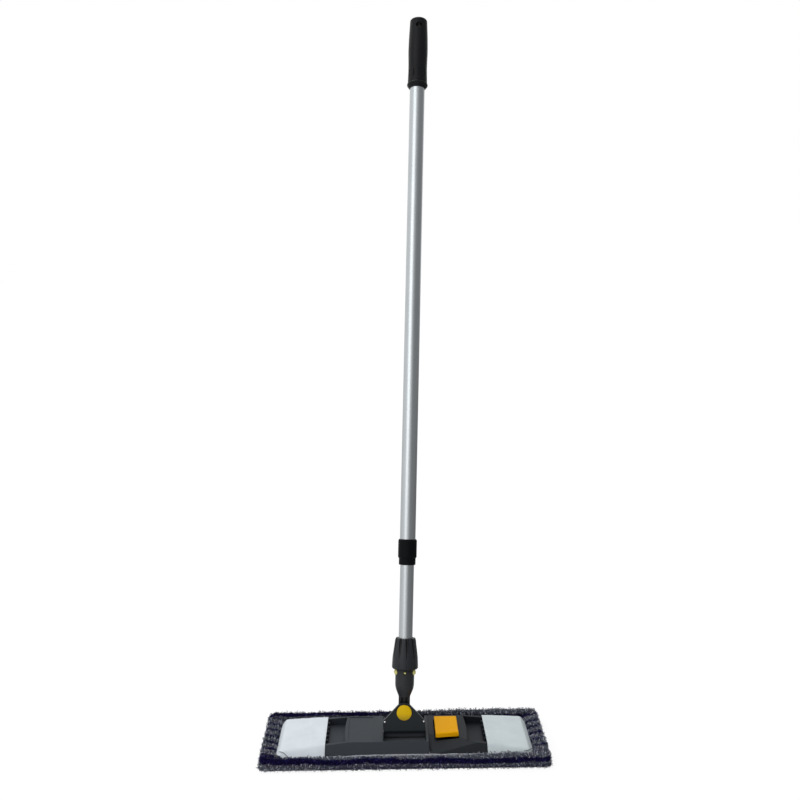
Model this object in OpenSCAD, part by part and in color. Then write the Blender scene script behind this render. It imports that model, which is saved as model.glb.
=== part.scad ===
// Flat mop with a folding pocket frame and a telescopic handle.
// Origin: on the floor at the centre of the pad. X runs along the pad, +Y points away
// from the user, +Z points up. The handle leans back over the pad and a little to the side.

/* [Pad] */
// Reach of the pad beyond each end of the frame
pad_over = 32; // [28:0.5:40]
// Gap between the pocket over the frame's front edge and the pile border
border_gap = 0.2; // [0.2:0.1:4]
// Thickness of the pile and its backing under the frame
pad_h = 11; // [8:0.5:13]
// Width of the raised pile border along the front and back
border_w = 10.5; // [8:0.5:13]
// Width of the raised pile border across each end
end_border_w = 24; // [16:0.5:26]
// Height of the raised pile border above the floor
border_h = 22; // [16:0.5:26]
// Radius of the pad's corners in plan
pad_corner_r = 13; // [12:1:26]
// Thickness of the cloth of the two pockets
pocket_t = 1.1; // [0.8:0.1:1.6]
// Depth of each pocket, from its mouth to its closed end
pocket_l = 69; // [50:1:76]

/* [Frame] */
// Length of the folding frame along X
frame_l = 376; // [364:2:380]
// Depth of the frame at its base along Y
frame_d = 105.6; // [100:0.2:106]
// Depth of the frame's flat top along Y
frame_top_d = 79; // [74:0.5:84]
// Height of the frame, from its base to its flat top
frame_h = 17.5; // [17:0.25:19]
// Height of the frame at its thin outer ends
tip_h = 8.5; // [7:0.25:10]
// Set-back of the frame's centre line from the pad's centre line, towards the user
frame_y = -4; // [-4.4:0.1:-2]
// Gap between the frame and the pad's backing
frame_gap = 0.5; // [0.2:0.1:1]
// Wall thickness of the frame mouldings
wall = 2.5; // [2:0.1:3]
// Width of the notch that the rocker tilts in
notch_w = 66; // [65:0.5:68]
// Width of the ear between the notch and the fold line
ear_w = 4; // [4:0.25:6]
// Number of stiffening ribs in each outer end
rib_n = 5; // [3:1:7]
// Thickness of each stiffening rib
rib_t = 3; // [2:0.25:4]

/* [Fold hinge] */
// Radius of the fold pin
fold_pin_r = 1.75; // [1.5:0.05:2]
// Outside radius of the hinge knuckles
knuckle_r = 3.4; // [3:0.1:3.4]
// Number of knuckles, counted over both wings
knuckle_n = 7; // [5:2:9]

/* [Release pedal] */
// Width of the pedal along X
pedal_w = 35.5; // [32:0.5:36]
// Length of the pedal along Y
pedal_d = 54.5; // [52:0.5:57]
// Height of the pedal's top above the frame's flat top
pedal_rise = 7; // [6.5:0.25:8]
// Thickness of the pedal's top and skirt
pedal_t = 2.4; // [2:0.1:3]
// Radius of the pedal's pin
pedal_pin_r = 1.75; // [1.5:0.05:1.9]
// Number of turns of the pedal's spring
spring_turns = 5; // [4:1:6]

/* [Rocker] */
// Width of the rocker along X
rocker_w = 64.8; // [62:0.2:65]
// Thickness of the rocker's boss, front to back
rocker_t = 26; // [25.5:0.25:27]
// Radius of the rocker's barrel round the tilt pin
barrel_r = 8.3; // [7:0.1:8.5]
// Radius of the rounded boss round the swivel pin
boss_r = 14.5; // [13.5:0.25:15]
// Height of the rocker's square shoulders above the tilt pin
shoulder_h = 20.5; // [20:0.25:22]
// Distance from the tilt pin to the swivel pin
pivot_h = 33; // [32.5:0.25:35]
// Radius of the tilt pin
tilt_pin_r = 2.5; // [2:0.05:2.75]
// Radius of the swivel pin
swivel_pin_r = 4; // [3:0.1:5]
// Radius of the round cap over the front of the swivel pin
cap_r = 11.5; // [11:0.1:12.2]
// Radius of the smaller cap over the back of the swivel pin
back_cap_r = 8.4; // [7.5:0.1:8.8]
// How far the caps stand proud of the boss
cap_rise = 2.25; // [2:0.25:3]

/* [Yoke] */
// Width of the yoke's neck
neck_w = 17.6; // [14:0.1:18]
// Thickness of the yoke's tongue between the rocker's cheeks
tongue_t = 12; // [11.5:0.1:12.5]
// Radius of the yoke's socket just below the nut
socket_r = 15; // [14.6:0.05:15.2]
// Distance from the swivel pin to the foot of the yoke's rounded shoulder
neck_l = 22; // [21.4:0.2:24]
// Length of the shoulder between the neck and the socket
cone_l = 19.5; // [14:0.5:20.5]
// Number of coloured studs round the socket
stud_n = 5; // [3:1:6]
// Radius of each stud
stud_r = 4.3; // [3.6:0.1:4.4]
// Radius of the small dot that takes the front stud's place
dot_r = 1.7; // [1.2:0.1:2.2]

/* [Clamp nut] */
// Distance from the swivel pin to the bottom of the clamp nut
nut_z = 65; // [64.5:0.25:68]
// Length of the clamp nut
nut_l = 47; // [45:0.5:49]
// Radius of the nut at its wide lower end
nut_r = 20.6; // [20:0.1:21.5]
// Radius of the nut at its narrow upper end
nut_top_r = 15.4; // [15:0.1:16]
// Number of flutes round the nut
flute_n = 10; // [8:1:12]
// Radius of each flute at the nut's narrow end
flute_r = 2.4; // [2:0.1:2.8]
// Depth of each flute at the nut's narrow end
flute_depth = 1.8; // [1:0.1:1.9]

/* [Handle] */
// Outside radius of the inner tube
inner_r = 11; // [10.9:0.02:11.04]
// Outside radius of the outer tube
outer_r = 12.5; // [12.4:0.02:12.6]
// Wall thickness of both tubes
tube_t = 0.8; // [0.7:0.05:0.9]
// Length of the inner tube
inner_l = 650; // [560:5:700]
// Length of inner tube that shows between the nut and the collar
inner_shown = 114; // [110:1:200]
// Length of the guide collar
collar_l = 40.5; // [38:0.5:50]
// Radius of the guide collar
collar_r = 14.9; // [14.7:0.05:16]
// Length of outer tube that shows between the collar and the grip
outer_shown = 752; // [700:0.5:840]
// Length of the hand grip
grip_l = 127; // [120:1:140]
// Radius of the grip at its swell
grip_r = 16.4; // [16:0.1:18]
// Radius of the hanging hole through the grip
hang_r = 5; // [4:0.1:5.5]

/* [Stance] */
// Lean of the handle back over the pad, in degrees
lean = 15; // [10:0.5:17]
// Lean of the handle to the side, in degrees
side_lean = 1.9; // [0:0.1:4]

/* [Hidden] */
$fn = 64;

eps = 0.01;        // overlap of joined pieces of one solid
through = 1;       // how far a cutter runs past a face
press = 0.02;      // radial gap of a pin fixed in its bore
running = 0.07;    // radial gap of a pin or tube that turns or slides
loose = 0.6;       // gap between mouldings that move past each other
charcoal = [0.19, 0.20, 0.22];
near_black = [0.07, 0.07, 0.08];
yellow = [0.93, 0.68, 0.06];
pale_yellow = [0.85, 0.85, 0.25];
steel = [0.72, 0.73, 0.75];
white = [0.82, 0.85, 0.88];
pile = [0.22, 0.22, 0.34];

// Pad size: the frame, the border round it and the frame's set-back
pad_l = frame_l + 2*pad_over;
pocket_gap = 0.35;                   // between the frame and the cloth over it
pad_d = frame_d + 2*(border_w + border_gap + pocket_gap + pocket_t - frame_y);

// Frame levels and edges
base_z = pad_h + frame_gap;
top_z = base_z + frame_h;
edge_h = 2;                          // upright edge at the foot of the frame's slopes
floor_t = 3;                         // floor under the notch, wells and pedal
floor_z = base_z + floor_t;
half_d = frame_d/2;
half_top = frame_top_d/2;
tip_x = frame_l/2;
tip_r = 14;                          // corner radius of the frame's outer ends
thin_x = 88;                         // where the top starts to thin towards the ends
notch_x = notch_w/2;
fold_x = notch_x + ear_w;
fold_gap = 0.15;                     // half the gap at the fold line
lip_w = 1.5;                         // lip in front of the notch
notch_y = frame_y - half_top + lip_w;

// Wells and ribs of the outer ends
well_left_x = 90;
well_right_x = 95;
well_l = 28;
bulge_r = 280;                       // radius of the curved inboard edge of each well
panel_drop = 0.8;
panel_x = 49;

// Fold hinge
fold_z = base_z + knuckle_r + 0.1;
relief_r = knuckle_r + loose;
knuckle_y0 = frame_y - half_d + 6;
knuckle_y1 = frame_y + half_d - 6;
knuckle_l = (knuckle_y1 - knuckle_y0)/knuckle_n;
knuckle_gap = 0.4;
split_r = fold_x + fold_z - base_z + loose;
split_sweep = norm([split_r - fold_x, fold_z]);
split_l = fold_x - split_sweep - loose;    // left pad ends clear of the folding right pad
split_gap = 0.3;

// Magnet and keeper at the fold line
magnet_l = 22;
magnet_h = 7;
magnet_t = 3.2;
keeper_t = 1.1;
magnet_y = 12;
magnet_z = fold_z + knuckle_r + 1.8;

// Pedal
pedal_x0 = fold_x + 11;
pedal_x1 = pedal_x0 + pedal_w;
pedal_y1 = frame_y + 25;
pedal_y0 = pedal_y1 - pedal_d;
pedal_skew = 4;                      // the outboard front corner is set back by this
pedal_swing = 1.7;                   // room for its inboard edge, which swings out as it sinks
pedal_z = top_z + pedal_rise;
pedal_pin_x = pedal_x1 + 4.5;
pedal_pin_z = base_z + 11;
pedal_pin_l = 42;
pedal_mid_y = frame_y - 2;
arm_w = 19;
arm_r = 4;
ramp_y = frame_y - 18;               // where the ramp before the pedal starts
spring_x = pedal_x0 + 11;
spring_r = 4.2;
wire_r = 0.5;
wire_sides = 6;
spring_steps = 14;                   // rings of points in a turn
spring_z0 = floor_z + 1.5 + wire_r + 0.1;
spring_z1 = pedal_z - pedal_t - 1.1 - wire_r;

// Rocker and yoke
tilt_y = frame_y - 1;
tilt_z = floor_z + barrel_r + 0.7;
boss_half = rocker_t/2;
boss_y = -3.5;                       // the boss stands this far in front of the tilt pin
skirt_h = 5.6;                       // the front cheek runs down to this height above the pin
back_boss_r = back_cap_r + 2.4;
back_drop = 8.5;                     // the back cheek's slopes are lower by this
tongue_half = tongue_t/2;
washer_t = 0.8;
washer_gap = 0.05;
cheek_y = tongue_half + washer_t + 2*washer_gap;
web_h = shoulder_h - 2.5;
cap_seat = 1.5;
pocket_w = 12;                       // width of the pockets that lighten the rocker
tilt_pin_x0 = -notch_x - 12;
tongue_r = neck_w/2;
groove_w = 3.3;
groove_x = 3.5;
groove_depth = 3.4;
cone_top = neck_l + cone_l;
thread_r = 13.2;
flute_slope = 9.4;
flute_turn = 7.4;                    // from the front to the nearest flute, in degrees
finger_z = nut_z + nut_l - 20;
finger_top = nut_z + nut_l - 4.5;
finger_r = 12.6;
socket_z = 47;                       // foot of the inner tube in the socket
stud_z = nut_z - 5;
stud_gap = 0.2;                      // between a stud and its hole
recess_r = 3.4;                      // shallow recess round the front dot
recess_depth = 0.8;
ring_t = 1.3;
ring_h = 2*stud_r + 1;

// Handle stations, measured from the swivel pin along the handle
inner_z = socket_z + 0.5;
inner_top = inner_z + inner_l;
collar_z = nut_z + nut_l + inner_shown;
outer_z = collar_z + 12;
bush_z = collar_z + 2.6;
bush_t = 1.3;
grip_z = collar_z + collar_l + outer_shown;
grip_top = grip_z + grip_l;
hang_z = grip_top - 19.5;
outer_top = hang_z - hang_r - 4;
sleeve_r = outer_r - tube_t - 0.06;
sleeve_l = 28;
plug_l = 24;
screw_r = 1.5;
stem_r = 4;
flange_t = 3;
sleeve_z = inner_top + flange_t + 0.4;
screw_z = sleeve_z + sleeve_l + 0.4;

// How a sloping edge moves along its neighbour when both are offset by one unit
function miter(m) = sqrt(1 + m*m) - m;

// ---- placing ----
module in_rocker() {
    translate([0, tilt_y, tilt_z]) rotate([-lean, 0, 0]) children();
}

module in_yoke() {
    in_rocker() translate([0, boss_y, pivot_h]) rotate([0, side_lean, 0]) children();
}

// ---- frame ----
// Cross-section of a wing across the mop, grown by g on its top and slopes
module wing_section(g, drop) {
    rise = frame_h - edge_h;
    run = half_d - half_top;
    yt = half_top + g*miter(run/rise);
    yb = half_d + g;
    ze = base_z + edge_h + g*miter(rise/run);
    zt = top_z + g;
    translate([frame_y, 0])
        polygon([[-yb, base_z - drop], [-yb, ze], [-yt, zt], [yt, zt], [yb, ze], [yb, base_z - drop]]);
}

// Outline of a wing seen from the front: flat, then thinning to the tip
module wing_side(x_in, g, drop) {
    polygon([[x_in, base_z - drop], [x_in, top_z + g], [thin_x, top_z + g],
             [tip_x + g, base_z + tip_h + g], [tip_x + g, base_z - drop]]);
}

// Plan of a wing with its two rounded outer corners
module wing_plan(x_in, g) {
    r = tip_r + g;
    y = half_d + g;
    x = tip_x + g;
    translate([0, frame_y]) {
        translate([x_in, -y]) square([x - r - x_in, 2*y]);
        translate([x_in, r - y]) square([x - x_in, 2*(y - r)]);
        for (s = [-1, 1]) translate([x - r, s*(y - r)]) circle(r);
    }
}

// One wing as a plain block; g grows it, and drop lets a cutter run out below
module wing_block(x_in, g = 0, drop = 0) {
    intersection() {
        translate([x_in, 0, 0]) rotate([90, 0, 90])
            linear_extrude(tip_x + 2*through - x_in) wing_section(g, drop);
        translate([0, frame_y + half_d + 2*through, 0]) rotate([90, 0, 0])
            linear_extrude(frame_d + 4*through) wing_side(x_in, g, drop);
        translate([0, 0, base_z - drop - through])
            linear_extrude(frame_h + drop + 3*through) wing_plan(x_in, g);
    }
}

// The open well and the channels between the ribs of an outer end
module end_cut(well_x) {
    y = half_top - wall;
    channel = (2*y - rib_n*rib_t)/(rib_n + 1);
    difference() {
        translate([well_x, frame_y - y, floor_z + 1.5]) cube([well_l, 2*y, frame_h]);
        translate([well_x - bulge_r + 2.5, frame_y, 0]) cylinder(r = bulge_r, h = top_z + 2, $fn = 360);
    }
    for (i = [0:rib_n])
        translate([well_x + well_l - eps, frame_y - y + i*(channel + rib_t), floor_z + 0.5])
            cube([tip_x - wall - well_x - well_l, channel, frame_h]);
}

// Hollow cells under a stretch of the flat top
module under_cells(x0, x1, n) {
    cell = (x1 - x0 - (n - 1)*wall)/n;
    intersection() {
        wing_block(x0 - 2*wall, -wall, through);
        for (i = [0:n - 1])
            for (s = [0, 1])
                translate([x0 + i*(cell + wall), s ? frame_y + wall/2 : frame_y - half_d, base_z - through])
                    cube([cell, half_d - wall/2, frame_h - wall]);
    }
}

module fold_axis() {
    translate([fold_x, 0, fold_z]) rotate([-90, 0, 0]) children();
}

// Knuckles of one wing, from the given one on, with the roots that tie them to the wing
module wing_knuckles(first) {
    root = first == 0 ? ear_w : relief_r + 1.5;
    for (i = [first:2:knuckle_n - 1]) {
        y = knuckle_y0 + i*knuckle_l + knuckle_gap/2;
        fold_axis() translate([0, 0, y]) cylinder(r = knuckle_r, h = knuckle_l - knuckle_gap);
        translate([first == 0 ? fold_x - root : fold_x, y, base_z])
            cube([root, knuckle_l - knuckle_gap, fold_z - base_z + 1.5]);
    }
}

// Space that the other wing's knuckles sweep, and the right wing's lower corner, which
// would foul the left wing as it folds
module fold_relief(first) {
    drop = fold_z - base_z + through;
    for (i = [first:2:knuckle_n - 1]) {
        y = knuckle_y0 + i*knuckle_l;
        fold_axis() translate([0, 0, y]) cylinder(r = relief_r, h = knuckle_l);
        translate([fold_x - relief_r, y, base_z - through]) cube([2*relief_r, knuckle_l, drop]);
    }
    if (first == 0)
        translate([fold_x - through, frame_y - half_d - through, base_z - through])
            cube([relief_r + through, frame_d + 2*through, drop]);
}

// A wing with its own knuckles; first is 0 on the left wing and 1 on the right one
module hinged(first, bore_gap) {
    difference() {
        union() {
            difference() {
                children();
                fold_relief(1 - first);
            }
            wing_knuckles(first);
        }
        fold_axis() translate([0, 0, knuckle_y0 - 3]) cylinder(r = fold_pin_r + bore_gap, h = knuckle_n*knuckle_l + 6);
    }
}

module magnet_seat(x0, t) {
    translate([x0, magnet_y - press, magnet_z - press])
        cube([t, magnet_l + 2*press, magnet_h + 2*press]);
}

module left_frame() color(charcoal) {
    hinged(0, press) difference() {
        mirror([1, 0, 0]) wing_block(fold_gap - fold_x);
        // notch for the rocker, open to the back
        translate([-notch_x, notch_y, floor_z]) cube([notch_w, frame_d, frame_h]);
        mirror([1, 0, 0]) end_cut(well_left_x);
        // sunk panel beside the centre block, and its line down the front slope
        translate([-well_left_x + 3, frame_y - half_top + wall, top_z - panel_drop])
            cube([well_left_x - 3 - panel_x, frame_top_d - 2*wall, 2]);
        translate([-panel_x - 1, frame_y - half_d + 7, base_z]) rotate([45, 0, 0])
            translate([0, 0, 10.5]) cube([1, 9, 2]);
        mirror([1, 0, 0]) under_cells(notch_x + 14, well_left_x - wall, 2);
        translate([tilt_pin_x0, tilt_y, tilt_z]) rotate([0, 90, 0])
            cylinder(r = tilt_pin_r + press, h = fold_x + through - tilt_pin_x0);
        magnet_seat(fold_x - fold_gap - keeper_t - press, keeper_t + through);
    }
}

// Space for the pedal, its arm and its travel
module pedal_recess() {
    width = pedal_w + pedal_swing + loose;
    translate([pedal_x0 - pedal_swing, ramp_y, floor_z + 1.5])
        cube([width, pedal_y1 + loose - ramp_y, frame_h]);
    translate([pedal_x0 - pedal_swing, pedal_y0 - 2*loose, top_z - pedal_rise - loose])
        cube([width, ramp_y - pedal_y0 + 3*loose, frame_h]);
    translate([pedal_x1, pedal_mid_y - arm_w/2 - loose, floor_z + 1.5])
        cube([pedal_pin_x + arm_r + loose - pedal_x1, arm_w + 2*loose, pedal_pin_z + arm_r + loose - floor_z - 1.5]);
}

// Foot ramp: the flat top is planed away in front of the pedal, less towards the end
module foot_ramp() {
    x_out = well_right_x + well_l;
    turn = atan2(frame_y - half_top - ramp_y, x_out - fold_x);
    run = (ramp_y - frame_y + half_d)*cos(turn);
    rise = frame_h - edge_h;
    beyond = 1.2;                    // the cutter runs on past the foot of the slope
    translate([fold_x, ramp_y, top_z]) rotate([0, 0, turn]) rotate([90, 0, 90])
        translate([0, 0, -5]) linear_extrude(x_out - fold_x)
            polygon([[0, 0], [-run*beyond, -rise*beyond], [-run*beyond, 3], [0, 3]]);
}

module right_frame() color(charcoal) {
    hinged(1, running) difference() {
        wing_block(fold_x + fold_gap);
        foot_ramp();
        end_cut(well_right_x);
        pedal_recess();
        translate([pedal_pin_x, pedal_mid_y - pedal_pin_l/2 - press, pedal_pin_z]) rotate([-90, 0, 0])
            cylinder(r = pedal_pin_r + press, h = pedal_pin_l + 2*press);
        magnet_seat(fold_x + fold_gap - through, magnet_t + through + press);
    }
}

module fold_pin() color(steel)
    fold_axis() translate([0, 0, knuckle_y0]) cylinder(r = fold_pin_r, h = knuckle_n*knuckle_l);

module keeper_plate() color(steel)
    translate([fold_x - fold_gap - keeper_t, magnet_y, magnet_z]) cube([keeper_t, magnet_l, magnet_h]);

module magnet() color([0.25, 0.25, 0.27])
    translate([fold_x + fold_gap, magnet_y, magnet_z]) cube([magnet_t, magnet_l, magnet_h]);

// ---- pedal ----
module pedal_plan(inset = 0) {
    polygon([[pedal_x0 + inset, pedal_y0 + inset], [pedal_x1 - inset, pedal_y0 + pedal_skew + inset],
             [pedal_x1 - inset, pedal_y1 - inset], [pedal_x0 + inset, pedal_y1 - inset]]);
}

module release_pedal() color(yellow) {
    edge = 1.6;                      // bevel round the pedal's top
    under_z = pedal_z - pedal_t;
    difference() {
        union() {
            translate([0, 0, top_z]) linear_extrude(pedal_rise - edge) pedal_plan();
            hull() {
                translate([0, 0, pedal_z - edge - eps]) linear_extrude(eps) pedal_plan();
                translate([0, 0, pedal_z - edge/3]) linear_extrude(eps) pedal_plan(edge/3);
                translate([0, 0, pedal_z - eps]) linear_extrude(eps) pedal_plan(edge);
            }
        }
        translate([0, 0, top_z - through]) linear_extrude(pedal_rise - pedal_t + through) pedal_plan(pedal_t);
        // bevelled lower corner by the fold
        translate([pedal_x0, pedal_y0 - through, top_z - 2]) rotate([0, 45, 0])
            cube([5, pedal_t + 2*through, 6], center = true);
    }
    // central arm down to the pin
    difference() {
        union() {
            translate([pedal_x0 + pedal_t - eps, pedal_mid_y - arm_w/2, under_z - 3.5])
                cube([pedal_w - 2*pedal_t + 2*eps, arm_w, 3.5 + eps]);
            translate([pedal_x1 - 9, pedal_mid_y - arm_w/2, pedal_pin_z + 1])
                cube([6, arm_w, under_z - pedal_pin_z - 1]);
            translate([pedal_x1 - 9, pedal_mid_y - arm_w/2, pedal_pin_z - arm_r + 1])
                cube([pedal_pin_x - pedal_x1 + 9, arm_w, 2*arm_r - 1.5]);
            translate([pedal_pin_x, pedal_mid_y - arm_w/2, pedal_pin_z]) rotate([-90, 0, 0])
                cylinder(r = arm_r, h = arm_w);
        }
        translate([pedal_pin_x, pedal_mid_y - arm_w, pedal_pin_z]) rotate([-90, 0, 0])
            cylinder(r = pedal_pin_r + running, h = 2*arm_w);
        translate([spring_x, pedal_mid_y, under_z - 3.5 - through])
            cylinder(r = spring_r + 2*wire_r + loose, h = 2.5 + through);
    }
}

module pedal_pin() color(steel)
    translate([pedal_pin_x, pedal_mid_y - pedal_pin_l/2, pedal_pin_z]) rotate([-90, 0, 0])
        cylinder(r = pedal_pin_r, h = pedal_pin_l);

// Point k of ring i of the spring's wire, which follows a helix
function spring_point(i, k) =
    let (a = 360*i/spring_steps, b = 360*k/wire_sides, r = spring_r + wire_r*cos(b),
         rise = (spring_z1 - spring_z0)*i/(spring_turns*spring_steps))
    [spring_x + r*cos(a), pedal_mid_y + r*sin(a), spring_z0 + rise + wire_r*sin(b)];

// Rings of points along the wire, joined in order and capped
module pedal_spring() color(steel) {
    rings = spring_turns*spring_steps;
    points = [for (i = [0:rings]) for (k = [0:wire_sides - 1]) spring_point(i, k)];
    skin = [for (i = [0:rings - 1]) for (k = [0:wire_sides - 1])
                let (a = i*wire_sides + k, b = i*wire_sides + (k + 1)%wire_sides)
                each [[a, b, b + wire_sides], [a, b + wire_sides, a + wire_sides]]];
    cap0 = [for (k = [wire_sides - 1:-1:0]) k];
    cap1 = [for (k = [0:wire_sides - 1]) rings*wire_sides + k];
    polyhedron(points, concat(skin, [cap0, cap1]));
}

// ---- pad ----
// Upright section of the pile border, centred on its path: round on top, flat on the floor
module border_section() {
    r = border_w/2;
    heel = 2;                        // radius of its two lower corners
    translate([-r, heel]) square([border_w, border_h - r - heel]);
    translate([heel - r, 0]) square([border_w - 2*heel, heel + eps]);
    for (s = [-1, 1]) translate([s*(r - heel), heel]) circle(heel);
    translate([0, border_h - r]) circle(r);
}

module border_run(length) {
    rotate([90, 0, 90]) linear_extrude(length) border_section();
}

module pad_solid() {
    r = pad_corner_r;
    path_r = r - border_w/2;
    lx = pad_l/2 - r;
    ly = pad_d/2 - r;
    translate([-lx, -pad_d/2 + border_w/2, 0]) cube([2*lx, pad_d - border_w, pad_h]);
    translate([-pad_l/2 + border_w/2, -ly, 0]) cube([pad_l - border_w, 2*ly, pad_h]);
    for (sx = [-1, 1]) for (sy = [-1, 1])
        translate([sx*lx, sy*ly, 0]) cylinder(r = path_r, h = pad_h);
    for (s = [-1, 1]) {
        translate([-lx, s*(ly + path_r), 0]) border_run(2*lx);
        translate([s*(lx + path_r), -ly, 0]) rotate([0, 0, 90]) border_run(2*ly);
    }
    for (q = [0:3])
        translate([(q == 0 || q == 3 ? 1 : -1)*lx, (q < 2 ? 1 : -1)*ly, 0]) rotate([0, 0, 90*q])
            rotate_extrude(angle = 90) translate([path_r, 0]) border_section();
    for (s = [0, 1]) mirror([s, 0, 0]) end_band();
}

// The pile across an end is wider: a lower band stands inside the border there
module end_band() {
    heel_x = pad_l/2 - end_border_w;
    path_r = pad_corner_r - border_w/2;
    lx = pad_l/2 - pad_corner_r;
    ly = pad_d/2 - pad_corner_r;
    band_h = border_h - 3;
    round_r = 4;                     // radius of its inner top edge
    difference() {
        union() {
            translate([heel_x, -ly, 0]) cube([lx + path_r - heel_x, 2*ly, band_h]);
            translate([heel_x, -ly - path_r, 0]) cube([max(eps, lx - heel_x), 2*(ly + path_r), band_h]);
            for (s = [-1, 1]) translate([lx, s*ly, 0]) cylinder(r = path_r, h = band_h);
        }
        translate([0, -pad_d/2, -through]) cube([heel_x, pad_d, border_h]);
        translate([heel_x - eps, pad_d/2, band_h - round_r]) rotate([90, 0, 0]) linear_extrude(pad_d)
            difference() {
                square(round_r + eps);
                translate([round_r + eps, 0]) circle(round_r);
            }
    }
}

module pad_part(x0, x1) {
    intersection() {
        pad_solid();
        translate([x0, -pad_d, -through]) cube([x1 - x0, 2*pad_d, border_h + 3*through]);
    }
}

module pad_left() color(pile) pad_part(-pad_l, split_l);
module pad_middle() color(pile) pad_part(split_l + split_gap, split_r - split_gap);
module pad_right() color(pile) pad_part(split_r, pad_l);

// Cloth pocket over an outer end of the frame, open towards the middle
module pocket() {
    mouth_x = tip_x + pocket_gap + pocket_t - pocket_l;
    difference() {
        wing_block(mouth_x, pocket_gap + pocket_t);
        wing_block(mouth_x - through, pocket_gap, through);
    }
}

module pocket_left() color(white) mirror([1, 0, 0]) pocket();
module pocket_right() color(white) pocket();

// ---- rocker ----
// Front outline: square shoulders, slopes that run onto the boss of radius r; all but the
// boss is lower by drop
module rocker_face(r, drop) {
    dx = rocker_w/2;
    dz = shoulder_h - drop - pivot_h;
    a = atan2(dx, dz) - acos(r/sqrt(dx*dx + dz*dz));
    tx = r*sin(a);
    tz = pivot_h + r*cos(a);
    polygon([[-dx, -barrel_r], [-dx, shoulder_h - drop], [-tx, tz], [tx, tz], [dx, shoulder_h - drop],
             [dx, -barrel_r]]);
    translate([0, pivot_h]) circle(r);
}

// Side outline: the front runs down in a skirt whose foot clears the floor as it tips
module rocker_profile() {
    front = boss_y - boss_half;
    back = boss_y + boss_half;
    top = pivot_h + boss_r + 2;
    polygon([[0, -3], [-5.5, -6.2], [front + 3.7, 1.6], [front + 0.8, skirt_h - 0.9], [front, skirt_h], [front, top],
             [back, top], [back, 7], [barrel_r - 0.3, 1]]);
}

// A bar of radius r and length h along the swivel axis, centred on the boss
module across_rocker(r, h) {
    translate([0, boss_y + h/2, pivot_h]) rotate([90, 0, 0]) cylinder(r = r, h = h);
}

module rocker() color(near_black) in_rocker() difference() {
    union() {
        intersection() {
            union() {
                translate([0, boss_y, 0]) rotate([90, 0, 0]) linear_extrude(boss_half) rocker_face(boss_r, 0);
                translate([0, boss_y + boss_half, 0]) rotate([90, 0, 0])
                    linear_extrude(boss_half + eps) rocker_face(back_boss_r, back_drop);
            }
            translate([-rocker_w/2 - 1, 0, 0]) rotate([90, 0, 90])
                linear_extrude(rocker_w + 2) rocker_profile();
        }
        translate([-rocker_w/2, 0, 0]) rotate([0, 90, 0]) cylinder(r = barrel_r, h = rocker_w);
    }
    // slot between the cheeks
    translate([-rocker_w, boss_y - cheek_y, web_h]) cube([2*rocker_w, 2*cheek_y, pivot_h + boss_r]);
    translate([-rocker_w, 0, 0]) rotate([0, 90, 0]) cylinder(r = tilt_pin_r + running, h = 2*rocker_w);
    across_rocker(swivel_pin_r + press, rocker_t + 2);
    translate([0, boss_y - boss_half + cap_seat, pivot_h]) rotate([90, 0, 0])
        cylinder(r = cap_r + 0.2, h = cap_seat + through);
    translate([0, boss_y + boss_half - cap_seat, pivot_h]) rotate([-90, 0, 0])
        cylinder(r = back_cap_r + 0.2, h = cap_seat + through);
    // lightening pockets down into the web, clear of the tilt pin
    for (s = [-1, 1])
        translate([s*rocker_w*0.32 - pocket_w/2, boss_y - cheek_y, tilt_pin_r + 3.5])
            cube([pocket_w, 2*cheek_y, web_h]);
}

module tilt_pin() color(steel)
    translate([tilt_pin_x0 + 0.5, tilt_y, tilt_z]) rotate([0, 90, 0])
        cylinder(r = tilt_pin_r, h = fold_x - 1 - tilt_pin_x0);

module swivel_pin() color(steel) in_rocker() across_rocker(swivel_pin_r, rocker_t - 2*cap_seat - 0.4);

// Round cap of radius r with a shallow dome
module pivot_cap(r) {
    dome = 1;
    dome_r = (r*r + dome*dome)/(2*dome);
    h = cap_seat + cap_rise;
    intersection() {
        cylinder(r = r, h = h);
        translate([0, 0, h - dome_r]) sphere(dome_r, $fn = 160);
    }
}

module pivot_cap_front() color(yellow) in_rocker()
    translate([0, boss_y - boss_half + cap_seat, pivot_h]) rotate([90, 0, 0]) pivot_cap(cap_r);

module pivot_cap_back() color(yellow) in_rocker()
    translate([0, boss_y + boss_half - cap_seat, pivot_h]) rotate([-90, 0, 0]) pivot_cap(back_cap_r);

module friction_washers() color(steel) in_rocker() translate([0, boss_y, 0])
    for (s = [0, 1]) mirror([0, s, 0])
        translate([0, tongue_half + washer_gap, pivot_h]) rotate([-90, 0, 0]) difference() {
            cylinder(r = tongue_r + 0.6, h = washer_t);
            translate([0, 0, -1]) cylinder(r = swivel_pin_r + 0.3, h = 3);
        }

// ---- yoke ----
// Profile of the shoulder: it leaves the neck steeply and rounds over into the socket
function shoulder_points() =
    let (steps = 8, r0 = tongue_r + 0.1, r1 = socket_r - 0.2)
    [for (i = [0:steps]) [r0 + (r1 - r0)*pow(sin(90*i/steps), 1.2), neck_l + cone_l*i/steps]];

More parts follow.
